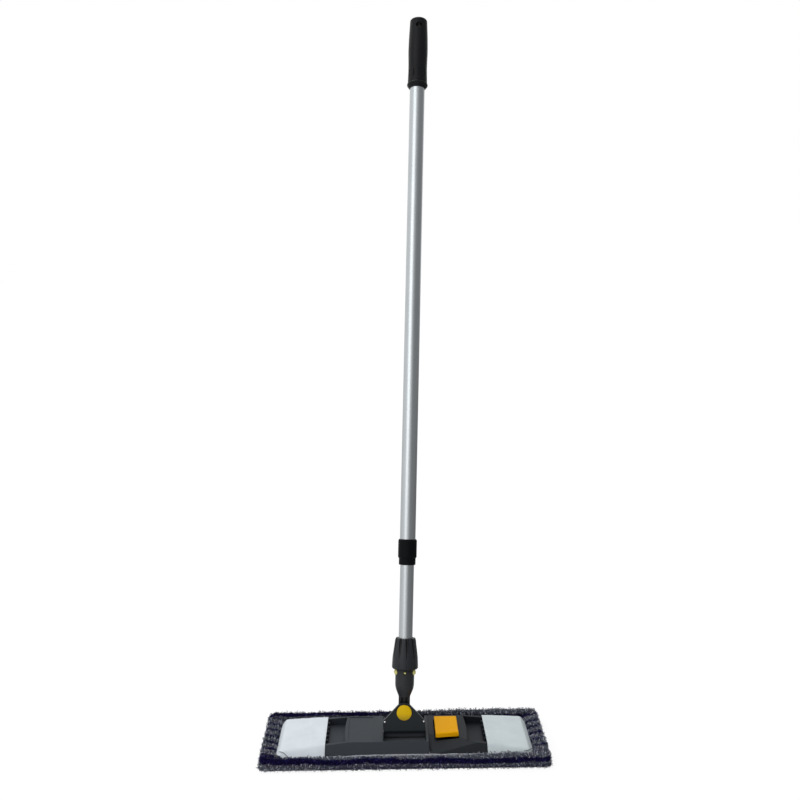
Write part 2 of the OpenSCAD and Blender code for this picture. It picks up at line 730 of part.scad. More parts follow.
module yoke() color(near_black) in_yoke() difference() {
    union() {
        translate([0, tongue_half, 0]) rotate([90, 0, 0]) cylinder(r = tongue_r, h = tongue_t);
        // the block's corners run out into the shoulder above it
        translate([-tongue_r, -tongue_half, 0]) cube([neck_w, tongue_t, neck_l + cone_l/2]);
        rotate_extrude() polygon(concat([[0, neck_l]], shoulder_points(),
            [[socket_r, nut_z - 0.1], [thread_r, nut_z - 0.1], [thread_r, finger_z],
             [finger_r - 0.4, finger_top], [0, finger_top]]));
    }
    translate([0, tongue_t, 0]) rotate([90, 0, 0]) cylinder(r = swivel_pin_r + running, h = 2*tongue_t);
    // two grooves in each face of the neck leave three ribs
    for (sx = [-1, 1]) for (sy = [-1, 1])
        translate([sx*groove_x - groove_w/2, sy > 0 ? tongue_half - groove_depth : -tongue_half - through, tongue_r + 4])
            cube([groove_w, groove_depth + through, neck_l + 3 - tongue_r]);
    translate([0, 0, socket_z]) cylinder(r = inner_r + press, h = nut_l + nut_z);
    // seat of the stud ring and the holes for its studs
    translate([0, 0, stud_z - ring_h/2 - 0.1]) cylinder(r = inner_r + ring_t + 0.15, h = ring_h + 0.2);
    at_studs(0, 0) cylinder(r = dot_r + stud_gap, h = socket_r + 4);
    at_studs(0, 0) translate([0, 0, socket_r - recess_depth]) cylinder(r = recess_r, h = 4);
    at_studs(1, stud_n - 1) cylinder(r = stud_r + stud_gap, h = socket_r + 4);
    // slits that let the socket's fingers close on the tube
    for (i = [0:3]) rotate([0, 0, 90*i + 45]) translate([0, -0.8, finger_z - 8]) cube([socket_r + 2, 1.6, nut_l]);
}

// Places of the studs from first to last, counted from the front one, each pointing outwards
module at_studs(first, last) {
    for (i = [first:last]) rotate([0, 0, 360*i/stud_n - 90]) translate([0, 0, stud_z]) rotate([0, 90, 0])
        children();
}

// A stud of radius r: a post through the socket's wall under a flattened dome
module stud(r) {
    foot = socket_r;
    rise = 0.7*r;
    dome_r = (r*r + rise*rise)/(2*rise);
    half = asin(r/dome_r);
    steps = 10;
    rotate_extrude() polygon(concat([[0, inner_r + 0.4], [r, inner_r + 0.4], [r, foot]],
        [for (i = [1:steps]) let (a = half*(1 - i/steps)) [dome_r*sin(a), foot + rise - dome_r*(1 - cos(a))]]));
}

// Sleeve behind the socket wall with domed studs that show through it
module stud_ring() color(pale_yellow) in_yoke() difference() {
    union() {
        translate([0, 0, stud_z - ring_h/2]) cylinder(r = inner_r + ring_t, h = ring_h);
        at_studs(1, stud_n - 1) stud(stud_r);
        at_studs(0, 0) translate([0, 0, -recess_depth]) stud(dot_r);
    }
    translate([0, 0, stud_z - ring_h]) cylinder(r = inner_r + press, h = 2*ring_h);
}

// ---- clamp nut ----
module clamp_nut() color(charcoal) in_yoke() translate([0, 0, nut_z]) difference() {
    bore_r = thread_r + 0.3;
    rotate_extrude() polygon([[bore_r, 0], [nut_r - 1.2, 0], [nut_r, 1.6], [nut_r - 0.2, nut_l*0.2],
        [nut_r - 0.7, nut_l*0.38], [nut_r - 1.9, nut_l*0.57], [nut_top_r + 1.8, nut_l*0.8],
        [nut_top_r + 1.1, nut_l*0.93], [nut_top_r, nut_l], [inner_r + 0.5, nut_l],
        [inner_r + 0.5, nut_l - 2.5], [finger_r + 0.2, nut_l - 3.5], [bore_r, nut_l - 20]]);
    // tapering flutes that run out in the surface above the wide end
    flute_x = nut_top_r - flute_depth + flute_r;
    for (i = [0:flute_n - 1]) rotate([0, 0, 360*i/flute_n - 90 + flute_turn])
        translate([flute_x, 0, nut_l]) rotate([0, 180 - flute_slope, 0])
            translate([0, 0, -2]) cylinder(r1 = flute_r, r2 = flute_r/2, h = nut_l*0.8);
    // shallow waves that carry the flutes on to the wide end
    for (i = [0:flute_n - 1]) rotate([0, 0, 360*i/flute_n - 90 + flute_turn])
        translate([nut_r + flute_r - 0.45, 0, -1]) cylinder(r = flute_r, h = nut_l*0.42);
}

// ---- handle ----
module tube(r, t, h) {
    difference() {
        cylinder(r = r, h = h);
        translate([0, 0, -through]) cylinder(r = r - t, h = h + 2*through);
    }
}

module inner_tube() color(steel) in_yoke() translate([0, 0, inner_z]) tube(inner_r, tube_t, inner_l);

module outer_tube() color(steel) in_yoke() translate([0, 0, outer_z]) tube(outer_r, tube_t, outer_top - outer_z);

// Plug in the top of the inner tube, with the stem that the sleeve turns on
module expander_plug() color(white) in_yoke() difference() {
    union() {
        translate([0, 0, inner_top - plug_l]) cylinder(r = inner_r - tube_t - press, h = plug_l + eps);
        translate([0, 0, inner_top + 0.05]) cylinder(r = inner_r, h = flange_t);
        translate([0, 0, inner_top]) cylinder(r = stem_r, h = screw_z - inner_top - 0.1);
    }
    translate([0, 0, inner_top - plug_l + 4]) cylinder(r = screw_r + press, h = screw_z);
    translate([0, 0, inner_top - plug_l - through]) cylinder(r = inner_r - tube_t - 3, h = plug_l - 6 + through);
}

// Split sleeve that swells in the outer tube when the handle is twisted
module expander_sleeve() color(white) in_yoke() translate([0, 0, sleeve_z]) difference() {
    cylinder(r = sleeve_r, h = sleeve_l);
    translate([0, 0, -1]) cylinder(r = stem_r + running, h = sleeve_l + 2);
    for (i = [0:2]) rotate([0, 0, 120*i]) translate([stem_r + 1.5, -0.8, -1]) cube([outer_r, 1.6, sleeve_l - 5]);
    for (k = [1:3]) translate([0, 0, k*sleeve_l/4 - 1]) difference() {
        cylinder(r = sleeve_r + 1, h = 2);
        translate([0, 0, -1]) cylinder(r = sleeve_r - 0.8, h = 4);
    }
}

module expander_screw() color(steel) in_yoke() {
    translate([0, 0, inner_top - 5]) cylinder(r = screw_r, h = screw_z - inner_top + 5);
    translate([0, 0, screw_z]) cylinder(r = 7, h = 1.2);
    translate([0, 0, screw_z + 1.2 - eps]) cylinder(r1 = 3.6, r2 = 2.6, h = 2.4);
}

module guide_collar() color(near_black) in_yoke() translate([0, 0, collar_z]) rotate_extrude() {
    foot_r = collar_r - 1.55;
    bore_r = outer_r + press;
    bush_r = inner_r + bush_t + 0.05;
    polygon([[inner_r + 0.5, 0], [foot_r - 0.8, 0], [foot_r, 0.8], [foot_r, 10], [collar_r, 12.5],
             [collar_r, collar_l - 2], [collar_r - 1.4, collar_l], [bore_r, collar_l],
             [bore_r, outer_z - collar_z - 0.1], [bush_r, outer_z - collar_z - 0.1],
             [bush_r, bush_z - collar_z - 0.1], [inner_r + 0.5, bush_z - collar_z - 0.1]]);
}

module collar_bush() color(white) in_yoke() translate([0, 0, bush_z])
    difference() {
        cylinder(r = inner_r + bush_t, h = outer_z - bush_z - 0.3);
        translate([0, 0, -1]) cylinder(r = inner_r + running, h = outer_z);
    }

// Grip radius at a share s of its length, from flange to shoulder, relative to its swell
function grip_half(s) = grip_r - 0.65 - 0.75*pow(max(0, s - 0.62)/0.38, 2)*1.6
    + 0.65*exp(-pow((s - 0.56)/0.15, 2)) - 0.1*exp(-pow((s - 0.26)/0.1, 2))
    + 0.2*exp(-pow((s - 0.76)/0.1, 2)) + 0.65*exp(-pow(max(0, s - 0.06)/0.15, 2));

module grip() color(near_black) in_yoke() difference() {
    flange_r = grip_r + 1.05;
    shoulder_z = grip_l - 7;
    foot = 11;
    stations = 20;
    translate([0, 0, grip_z]) rotate_extrude() polygon(concat(
        [[0, 0], [outer_r + 0.8, 0], [flange_r - 0.5, 5], [flange_r, 6.2], [flange_r - 0.2, 7.8], [grip_r - 0.3, 9.4]],
        [for (i = [0:stations]) let (z = foot + (shoulder_z - foot)*i/stations) [grip_half(z/shoulder_z), z]],
        [[grip_half(1) - 1.2, shoulder_z + 1.6], [grip_half(1)*0.5, grip_l - 2.2], [3, grip_l - 0.3], [0, grip_l]]));
    translate([0, 0, grip_z - through]) cylinder(r = outer_r + press, h = outer_top + 0.1 - grip_z + through);
    // hanging hole, front to back
    translate([0, grip_r*2, hang_z]) rotate([90, 0, 0]) cylinder(r = hang_r, h = grip_r*4);
    // slim oval finger marks above the flange
    for (i = [0:9]) rotate([0, 0, 36*i - 116]) translate([grip_half(0.25) + 0.5, 0, grip_z + 18]) {
        cylinder(r = 1.3, h = 12, $fn = 20);
        sphere(1.3, $fn = 20);
        translate([0, 0, 12]) sphere(1.3, $fn = 20);
    }
}

left_frame();
right_frame();
fold_pin();
keeper_plate();
magnet();
release_pedal();
pedal_pin();
pedal_spring();
pad_left();
pad_middle();
pad_right();
pocket_left();
pocket_right();
rocker();
tilt_pin();
swivel_pin();
pivot_cap_front();
pivot_cap_back();
friction_washers();
yoke();
stud_ring();
clamp_nut();
inner_tube();
expander_plug();
expander_sleeve();
expander_screw();
outer_tube();
guide_collar();
collar_bush();
grip();
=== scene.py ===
import math
import bpy
from mathutils import Matrix, Vector, noise


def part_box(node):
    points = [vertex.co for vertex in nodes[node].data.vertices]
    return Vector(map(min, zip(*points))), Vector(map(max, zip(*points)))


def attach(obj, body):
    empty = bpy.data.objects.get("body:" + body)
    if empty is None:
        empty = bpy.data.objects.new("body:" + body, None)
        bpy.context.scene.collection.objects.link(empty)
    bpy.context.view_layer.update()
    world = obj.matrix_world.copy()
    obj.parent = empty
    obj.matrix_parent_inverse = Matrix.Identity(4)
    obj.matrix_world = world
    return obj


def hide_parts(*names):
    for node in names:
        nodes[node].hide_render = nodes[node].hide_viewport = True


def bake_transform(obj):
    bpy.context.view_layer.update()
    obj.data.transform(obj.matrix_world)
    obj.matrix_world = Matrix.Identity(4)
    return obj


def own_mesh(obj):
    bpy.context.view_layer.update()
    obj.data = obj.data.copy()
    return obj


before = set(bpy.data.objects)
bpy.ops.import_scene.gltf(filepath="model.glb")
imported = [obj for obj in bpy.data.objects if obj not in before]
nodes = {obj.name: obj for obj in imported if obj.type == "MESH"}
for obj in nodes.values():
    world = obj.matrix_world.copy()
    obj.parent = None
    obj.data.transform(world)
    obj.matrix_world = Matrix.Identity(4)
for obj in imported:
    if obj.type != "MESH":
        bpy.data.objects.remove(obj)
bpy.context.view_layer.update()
scene = bpy.context.scene
mm = 0.001


def linear(hexColour):
    # an sRGB hex value as the linear colour that the shaders want
    parts = [int(hexColour[i:i + 2], 16) / 255 for i in (1, 3, 5)]
    return tuple(c / 12.92 if c <= 0.04045 else ((c + 0.055) / 1.055) ** 2.4
                 for c in parts) + (1.0,)


def shaded(colour, factor, lift=0.0):
    # the same linear colour, darker or paler
    return tuple(min(1, c * factor + lift) for c in colour[:3]) + (1,)


def addNode(tree, kind, inputs=None, **settings):
    # one node, with its settings, its values and what feeds it: a socket, a node, which stands
    # for its first output in use, or a list of them
    node = tree.nodes.new(kind)
    for name, value in settings.items():
        setattr(node, name, value)
    for key, value in (inputs or {}).items():
        for feed in value if isinstance(value, list) else [value]:
            if isinstance(feed, bpy.types.Node):
                feed = next(socket for socket in feed.outputs if socket.enabled)
            if isinstance(feed, bpy.types.NodeSocket):
                tree.links.new(feed, node.inputs[key])
            else:
                node.inputs[key].default_value = feed
    return node


def smooth(low, high, value):
    t = max(0.0, min(1.0, (value - low) / (high - low)))
    return t * t * (3 - 2 * t)


def makeMesh(name, points, faces, material=None):
    mesh = bpy.data.meshes.new(name)
    mesh.from_pydata([tuple(p) for p in points], [], faces)
    mesh.validate()
    mesh.update()
    piece = bpy.data.objects.new(name, mesh)
    scene.collection.objects.link(piece)
    for polygon in mesh.polygons:
        polygon.use_smooth = True
    if material:
        mesh.materials.append(material)
    return piece


def gridMesh(name, rows, material=None, closed=False, capped=False):
    # a skin over rows of points; closed joins the ends of each row, and capped shuts the first
    # row and the last one
    width = len(rows[0])
    faces = []
    if capped:
        last = (len(rows) - 1) * width
        faces = [tuple(reversed(range(width))), tuple(range(last, last + width))]
    for i in range(len(rows) - 1):
        for k in range(width if closed else width - 1):
            a, b = i * width + k, i * width + (k + 1) % width
            faces.append((a, b, b + width, a + width))
    return makeMesh(name, [p for row in rows for p in row], faces, material)


def joinPieces(name, pieces):
    bpy.ops.object.select_all(action="DESELECT")
    for piece in pieces:
        piece.select_set(True)
    bpy.context.view_layer.objects.active = pieces[0]
    bpy.ops.object.join()
    pieces[0].name = name
    return pieces[0]


def newTree(name, lengths, seed):
    # a Geometry Nodes group with a named input for each length, in mm, a seed and a material
    tree = bpy.data.node_groups.new(name, "GeometryNodeTree")
    face = tree.interface
    face.new_socket("Geometry", in_out="INPUT", socket_type="NodeSocketGeometry")
    for label, length in lengths.items():
        socket = face.new_socket(label, in_out="INPUT", socket_type="NodeSocketFloat")
        socket.default_value = length * mm
    face.new_socket("Seed", in_out="INPUT", socket_type="NodeSocketInt").default_value = seed
    face.new_socket("Material", in_out="INPUT", socket_type="NodeSocketMaterial")
    face.new_socket("Geometry", in_out="OUTPUT", socket_type="NodeSocketGeometry")
    return tree, addNode(tree, "NodeGroupInput").outputs


def endTree(tree, geometry, material):
    # smooth faces, the material and the way out
    soft = addNode(tree, "GeometryNodeSetShadeSmooth", {"Geometry": geometry})
    dressed = addNode(tree, "GeometryNodeSetMaterial", {"Geometry": soft, "Material": material})
    addNode(tree, "NodeGroupOutput", {"Geometry": dressed})


def runTree(tree, start, name, values):
    # what the tree makes of the start piece, as a plain mesh; the start piece goes
    modifier = start.modifiers.new(tree.name, "NODES")
    modifier.node_group = tree
    for item in tree.interface.items_tree:
        if item.in_out == "INPUT" and item.name in values:
            modifier[item.identifier] = values[item.name]
    depsgraph = bpy.context.evaluated_depsgraph_get()
    mesh = bpy.data.meshes.new_from_object(start.evaluated_get(depsgraph),
                                           preserve_all_data_layers=True, depsgraph=depsgraph)
    bpy.data.objects.remove(start, do_unlink=True)
    mesh.name = name
    result = bpy.data.objects.new(name, mesh)
    scene.collection.objects.link(result)
    return result


# place in mm, angles in degrees
view = {"place": (-22, -1319, 756), "pitch": 8.89, "yaw": 0.83, "roll": -0.40, "lens": 40.5,
        "sensor": 36, "near": 0.05, "far": 60}


def placeCamera():
    pitch, yaw, roll = (math.radians(view[k]) for k in ("pitch", "yaw", "roll"))
    ahead = Vector((math.sin(yaw) * math.cos(pitch), math.cos(yaw) * math.cos(pitch),
                    -math.sin(pitch)))
    level = Vector((math.cos(yaw), -math.sin(yaw), 0))
    over = level.cross(ahead)
    right = level * math.cos(roll) + over * math.sin(roll)
    up = over * math.cos(roll) - level * math.sin(roll)
    data = bpy.data.cameras.new("camera")
    data.lens, data.sensor_width = view["lens"], view["sensor"]
    data.clip_start, data.clip_end = view["near"], view["far"]
    camera = bpy.data.objects.new("camera", data)
    turn = Matrix((right, up, -ahead)).transposed().to_4x4()
    camera.matrix_world = Matrix.Translation(Vector(view["place"]) * mm) @ turn
    scene.collection.objects.link(camera)
    scene.camera = camera


# azimuth runs from the user's side, positive to the right; spread is how wide a lamp looks
lamps = {
    "backSoftbox": {"strength": 0.95, "azimuth": -150, "elevation": 66, "spread": 40},
    "topSoftbox": {"strength": 0.34, "azimuth": -14, "elevation": 64, "spread": 50},
    "keySoftbox": {"strength": 0.52, "azimuth": -37, "elevation": 30, "spread": 42},
}


def hangLamps():
    for name, softbox in lamps.items():
        lamp = bpy.data.lights.new(name, "SUN")
        lamp.energy, lamp.angle = softbox["strength"], math.radians(softbox["spread"])
        thing = bpy.data.objects.new(name, lamp)
        a, e = math.radians(softbox["azimuth"]), math.radians(softbox["elevation"])
        towards = Vector((math.sin(a) * math.cos(e), -math.cos(a) * math.cos(e), math.sin(e)))
        thing.rotation_euler = (-towards).to_track_quat("-Z", "Y").to_euler()
        scene.collection.objects.link(thing)


# a dark flag stands at the right of the user's side; a black canopy over that side shows in
# gloss only, so the mop's front faces have little to mirror
studio = {"ambient": 0.54, "flag": (0.93, -0.36, -0.12), "flagEdge": (0.08, 0.74), "flagDark": 0.69,
          "canopy": (-0.1, -0.50, 0.86), "canopyEdge": (0.80, 0.95), "canopyDark": 0.55}


def makeStudio():
    # white all round; the eye and gloss see it at full strength, and it lights at the ambient one
    world = bpy.data.worlds.new("studio")
    world.use_nodes = True
    tree = world.node_tree
    tree.nodes.clear()
    where = addNode(tree, "ShaderNodeTexCoord").outputs["Generated"]

    def dimmed(name):
        # 1 all round, falling towards the flag or the canopy
        low, high = studio[name + "Edge"]
        facing = addNode(tree, "ShaderNodeVectorMath", {
            0: where, 1: studio[name]}, operation="DOT_PRODUCT")
        return addNode(tree, "ShaderNodeMapRange", {
            "Value": facing, "From Min": low, "From Max": high, "To Min": 1.0,
            "To Max": 1.0 - studio[name + "Dark"]}, interpolation_type="SMOOTHSTEP")

    path = addNode(tree, "ShaderNodeLightPath").outputs
    seen = addNode(tree, "ShaderNodeMath", {
        0: path["Is Glossy Ray"], 1: path["Is Transmission Ray"]}, operation="MAXIMUM")
    mirrored = addNode(tree, "ShaderNodeMix", {
        "Factor": seen, "A": 1.0, "B": dimmed("canopy")}, data_type="FLOAT")
    level = addNode(tree, "ShaderNodeMath", {0: dimmed("flag"), 1: mirrored}, operation="MULTIPLY")
    shown = addNode(tree, "ShaderNodeMapRange", {"Value": seen, "To Min": studio["ambient"]})
    lit = addNode(tree, "ShaderNodeMath", {0: level, 1: shown}, operation="MULTIPLY")
    strength = addNode(tree, "ShaderNodeMix", {
        "Factor": path["Is Camera Ray"], "A": lit, "B": 1.0}, data_type="FLOAT")
    back = addNode(tree, "ShaderNodeBackground", {"Color": (1, 1, 1, 1), "Strength": strength})
    addNode(tree, "ShaderNodeOutputWorld", {"Surface": back})
    scene.world = world


# in gloss the paper darkens to the right, between two places in metres, where the flag stands
paper = {"colour": "#f2f3f4", "glow": 0.76, "glowStrength": 1.08, "glossFrom": 0.03,
         "glossTo": 0.45, "glossNear": 0.80, "glossFar": 0.24, "halfSize": 30}


def makeFloor():
    # white sweep: glows to the eye so that it stays white, and still takes the mop's soft shadow
    material, tree, where = newMaterial("whitePaperSweep")
    path = addNode(tree, "ShaderNodeLightPath").outputs
    glossy = addNode(tree, "ShaderNodeMath", {
        0: path["Is Glossy Ray"], 1: path["Is Transmission Ray"]}, operation="MAXIMUM")
    glow = addNode(tree, "ShaderNodeMath", {
        0: path["Is Camera Ray"], 1: paper["glow"]}, operation="MULTIPLY")
    matt = addNode(tree, "ShaderNodeBsdfDiffuse", {"Color": linear(paper["colour"])})
    white = addNode(tree, "ShaderNodeEmission", {
        "Color": (1, 1, 1, 1), "Strength": paper["glowStrength"]})
    mixed = addNode(tree, "ShaderNodeMixShader", {0: glow, 1: matt, 2: white})
    across = addNode(tree, "ShaderNodeSeparateXYZ", {0: where}).outputs["X"]
    shade = addNode(tree, "ShaderNodeMapRange", {
        "Value": across, "From Min": paper["glossFrom"], "From Max": paper["glossTo"],
        "To Min": paper["glossNear"], "To Max": paper["glossFar"]}, interpolation_type="SMOOTHSTEP")
    image = addNode(tree, "ShaderNodeEmission", {"Color": (1, 1, 1, 1), "Strength": shade})
    either = addNode(tree, "ShaderNodeMixShader", {0: glossy, 1: mixed, 2: image})
    addNode(tree, "ShaderNodeOutputMaterial", {"Surface": either})
    r = paper["halfSize"]
    floor = makeMesh("floor", [(-r, -r, 0), (r, -r, 0), (r, r, 0), (-r, r, 0)], [(0, 1, 2, 3)],
                     material)


def newMaterial(name):
    # an empty material, its tree, and the place on the object that patterns follow
    material = bpy.data.materials.new(name)
    material.use_nodes = True
    tree = material.node_tree
    tree.nodes.clear()
    return material, tree, addNode(tree, "ShaderNodeTexCoord").outputs["Object"]


placeCamera()
hangLamps()
makeStudio()
scene.view_settings.view_transform = "Standard"
makeFloor()
print("camera, lamps and floor")


def mouldedPlastic(name, colour, roughness=0.42, ior=1.5, specular=0.5, grain=0.05, grainSize=0.6,
                   edge=0.35, lift=0.0, mottle=0.06, hollow=0.0, bite=0.5, paintedLightPatch=None):
    # injection moulding: one colour with a faint mottle, spark-eroded grain, edges softly rounded
    # by the mould. specular is how much of its gloss the grain leaves, lift how much paler its edges
    # are painted, a painted highlight; hollow how dark the painted shade in its grooves is, and bite
    # how deep a groove takes all of it; the last argument lays a patch of painted light on its front
    # side, near the middle and between two heights in mm, and painted shade where its colour is
    # darker. the real grain is about 0.1 mm across, and drawn coarser so that it shows
    material, tree, where = newMaterial(name)
    cloud = addNode(tree, "ShaderNodeTexNoise", {
        "Vector": where, "Scale": 1 / (45 * mm), "Detail": 3.0, "Roughness": 0.55})
    fine = addNode(tree, "ShaderNodeTexNoise", {
        "Vector": where, "Scale": 1 / (grainSize * mm), "Detail": 2.0, "Roughness": 0.6})
    base = linear(colour)
    tone = addNode(tree, "ShaderNodeMix", {
        "Factor": cloud, "A": shaded(base, 1 - mottle), "B": shaded(base, 1 + mottle)},
        data_type="RGBA")
    rounded = addNode(tree, "ShaderNodeBevel", {"Radius": edge * mm}, samples=6)
    bump = addNode(tree, "ShaderNodeBump", {
        "Strength": grain, "Distance": 0.2 * mm, "Height": fine, "Normal": rounded})
    # painted highlight: the plastic is a little paler where the rounded normal leaves the flat one
    flat = addNode(tree, "ShaderNodeNewGeometry").outputs["Normal"]
    facing = addNode(tree, "ShaderNodeVectorMath", {0: rounded, 1: flat}, operation="DOT_PRODUCT")
    edgeHighlight = addNode(tree, "ShaderNodeMapRange", {
        "Value": facing, "From Min": 0.995, "From Max": 0.85, "To Max": lift})
    edged = addNode(tree, "ShaderNodeMix", {
        "Factor": edgeHighlight, "A": tone, "B": shaded(base, 2.6, 0.03)}, data_type="RGBA")
    rough = addNode(tree, "ShaderNodeMapRange", {
        "Value": cloud, "From Min": 0.3, "From Max": 0.7, "To Min": roughness - 0.04,
        "To Max": roughness + 0.05})
    shown = edged
    if paintedLightPatch:
        # a patch of painted light on the front side; where its colour is darker than the plastic,
        # painted shade
        axes = addNode(tree, "ShaderNodeSeparateXYZ", {0: where}).outputs
        off = addNode(tree, "ShaderNodeMath", {0: axes["X"]}, operation="ABSOLUTE")
        near = addNode(tree, "ShaderNodeMath", {
            0: off, 1: paintedLightPatch["reach"] * mm}, operation="LESS_THAN")
        heightBand = addNode(tree, "ShaderNodeMapRange", {
            "Value": axes["Z"], "From Min": paintedLightPatch["none"] * mm, "From Max": paintedLightPatch["full"] * mm})
        front = addNode(tree, "ShaderNodeMapRange", {
            "Value": axes["Y"], "From Min": -1 * mm, "From Max": -6 * mm})
        patch = addNode(tree, "ShaderNodeMath", {0: near, 1: front}, operation="MULTIPLY")
        amount = addNode(tree, "ShaderNodeMath", {0: patch, 1: heightBand}, operation="MULTIPLY")
        shown = addNode(tree, "ShaderNodeMix", {
            "Factor": amount, "A": shown, "B": linear(paintedLightPatch["colour"])}, data_type="RGBA")
    if hollow:
        # painted shade: darker where the occlusion finds a groove or a hollow
        groove = addNode(tree, "ShaderNodeAmbientOcclusion", {"Distance": 7 * mm}, samples=8)
        cavityShade = addNode(tree, "ShaderNodeMapRange", {
            "Value": groove.outputs["AO"], "From Min": bite, "From Max": 0.97,
            "To Min": 1 - hollow})
        shown = addNode(tree, "ShaderNodeVectorMath", {0: shown, "Scale": cavityShade}, operation="SCALE")
    skin = addNode(tree, "ShaderNodeBsdfPrincipled", {
        "Base Color": shown, "IOR": ior, "Specular IOR Level": specular, "Roughness": rough,
        "Normal": bump})
    addNode(tree, "ShaderNodeOutputMaterial", {"Surface": skin})
    return material


# the handle's lean back and to the side, which the drawn lines of its tubes follow
handleLean = {"back": 15, "side": -1.9}


def anodisedAluminium(name):
    # drawn tube, satin anodised: metal with a fine grain along the tube and a soft bright line of
    # the lamp; the real lines are a tenth as wide, and drawn coarser so that they show
    material, tree, where = newMaterial(name)
    # turned so that its z runs along the handle, then drawn out along it
    lean = (math.radians(handleLean["back"]), math.radians(handleLean["side"]), 0)
    turned = addNode(tree, "ShaderNodeMapping", {
        "Vector": where, "Rotation": lean,
        "Scale": (1 / (0.9 * mm), 1 / (0.9 * mm), 1 / (90 * mm))})
    lines = addNode(tree, "ShaderNodeTexNoise", {
        "Vector": turned, "Scale": 1.0, "Detail": 3.0, "Roughness": 0.65})
    cloud = addNode(tree, "ShaderNodeTexNoise", {
        "Vector": where, "Scale": 1 / (60 * mm), "Detail": 3.0})
    rough = addNode(tree, "ShaderNodeMapRange", {
        "Value": lines, "From Min": 0.3, "From Max": 0.7, "To Min": 0.27, "To Max": 0.36})
    tone = addNode(tree, "ShaderNodeMix", {
        "Factor": cloud, "A": linear("#b6bbbe"), "B": linear("#c2c7ca")}, data_type="RGBA")
    bump = addNode(tree, "ShaderNodeBump", {
        "Strength": 0.04, "Distance": 0.1 * mm, "Height": lines})
    skin = addNode(tree, "ShaderNodeBsdfPrincipled", {
        "Base Color": tone, "Metallic": 1.0, "Roughness": rough, "Normal": bump})
    addNode(tree, "ShaderNodeOutputMaterial", {"Surface": skin})
    return material


def platedSteel(name, colour, roughness):
    # turned or drawn steel, plated: grey metal, slightly clouded, with fine scratches, which are
    # drawn coarser than real ones so that they show
    material, tree, where = newMaterial(name)
    scratches = addNode(tree, "ShaderNodeTexNoise", {
        "Vector": where, "Scale": 1 / (0.8 * mm), "Detail": 3.0, "Distortion": 0.4})
    cloud = addNode(tree, "ShaderNodeTexNoise", {
        "Vector": where, "Scale": 1 / (12 * mm), "Detail": 2.0})
    rough = addNode(tree, "ShaderNodeMapRange", {
        "Value": cloud, "From Min": 0.3, "From Max": 0.7, "To Min": roughness - 0.06,
        "To Max": roughness + 0.06})
    base = linear(colour)
    tone = addNode(tree, "ShaderNodeMix", {
        "Factor": scratches, "A": shaded(base, 0.86), "B": base}, data_type="RGBA")
    bump = addNode(tree, "ShaderNodeBump", {
        "Strength": 0.05, "Distance": 0.1 * mm, "Height": scratches})
    skin = addNode(tree, "ShaderNodeBsdfPrincipled", {
        "Base Color": tone, "Metallic": 1.0, "Roughness": rough, "Normal": bump})
    addNode(tree, "ShaderNodeOutputMaterial", {"Surface": skin})
    return material


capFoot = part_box("pivot_cap_front")[0][2] / mm
plastics = {
    # moulded in an eroded tool: a blue grey near black, satin, its highlights wide and weak
    "charcoalPolypropylene": {
        "colour": "#2d3238", "roughness": 0.5, "specular": 0.2, "lift": 0.06, "grain": 0.10,
        # painted light on the floor of the notch in front of the rocker, where shade falls
        "paintedLightPatch": {"reach": 33, "full": 15.2, "none": 16.0, "colour": "#676c72"}},
    # the same moulding, darker: painted shade over the right frame
    "shadedPolypropylene": {
        "colour": "#1d2126", "roughness": 0.5, "specular": 0.15, "lift": 0.06, "grain": 0.10},
    # slightly smoother, with painted shade between the neck's ribs
    "darkGreyPolypropylene": {
        "colour": "#2f3033", "specular": 0.2, "lift": 0.10, "grain": 0.08, "hollow": 0.8},
    # painted highlight along its edges, painted shade in its hollows, painted light on its shaded
    # lower front
    "blackPolypropylene": {
        "colour": "#23282b", "specular": 0.16, "lift": 0.28, "grain": 0.08, "hollow": 0.4,
        "paintedLightPatch": {"reach": 40, "full": 24.0, "none": 28.5, "colour": "#565b60"}},
    # mat black: hardly any highlight beside the bright tube
    "matBlackPolypropylene": {
        "colour": "#0d0f11", "roughness": 0.5, "specular": 0.06, "grain": 0.06},
    # nylon with glass fibre: a touch glossier and mottled, with painted shade between the flutes
    "glassFilledNylon": {
        "colour": "#2a2c30", "roughness": 0.34, "specular": 0.2, "lift": 0.10, "grain": 0.12,
        "mottle": 0.1, "hollow": 0.95, "bite": 0.82},
    # soft-touch skin: a coarser grain that softens the lamp's line down the grip; painted shade in
    # its hollows
    "softTouchGripPolypropylene": {
        "colour": "#17181a", "roughness": 0.36, "specular": 0.12, "grain": 0.14, "grainSize": 0.9,
        "hollow": 0.5},
    # polished tool: smooth warm yellow with generous round edges
    "glossYellowAbs": {
        "colour": "#eaa707", "roughness": 0.26, "ior": 1.54, "specular": 0.04, "grain": 0.02,
        "edge": 0.5, "mottle": 0.03},
    # polished tool: lemon yellow, with painted shade darkening it towards its lower edge
    "glossLemonAbs": {
        "colour": "#e4ba0a", "roughness": 0.24, "ior": 1.54, "specular": 0.14, "grain": 0.02,
        "edge": 0.5, "mottle": 0.04,
        "paintedLightPatch": {"reach": 40, "full": capFoot, "none": capFoot + 11, "colour": "#ab8a0e"}},
    # small glossy domes of a paler yellow
    "paleYellowAbs": {
        "colour": "#e0dc86", "roughness": 0.3, "ior": 1.54, "grain": 0.02, "edge": 0.3,
        "mottle": 0.04},
    # uncoloured nylon: off-white, waxy
    "naturalNylon": {"colour": "#d9d8d0", "ior": 1.53, "grain": 0.04},
}
steels = {
    "zincPlatedSteel": {"colour": "#b4b8bc", "roughness": 0.32},      # bluish grey
    "brightRivetSteel": {"colour": "#f4f5f6", "roughness": 0.46},     # bright enough to glint
    "nickelPlatedMagnet": {"colour": "#8f9296", "roughness": 0.28},   # darker and smoother
}
finish = {name: mouldedPlastic(name, **look) for name, look in plastics.items()}
finish.update({name: platedSteel(name, **look) for name, look in steels.items()})
finish["satinAnodisedAluminium"] = anodisedAluminium("satinAnodisedAluminium")

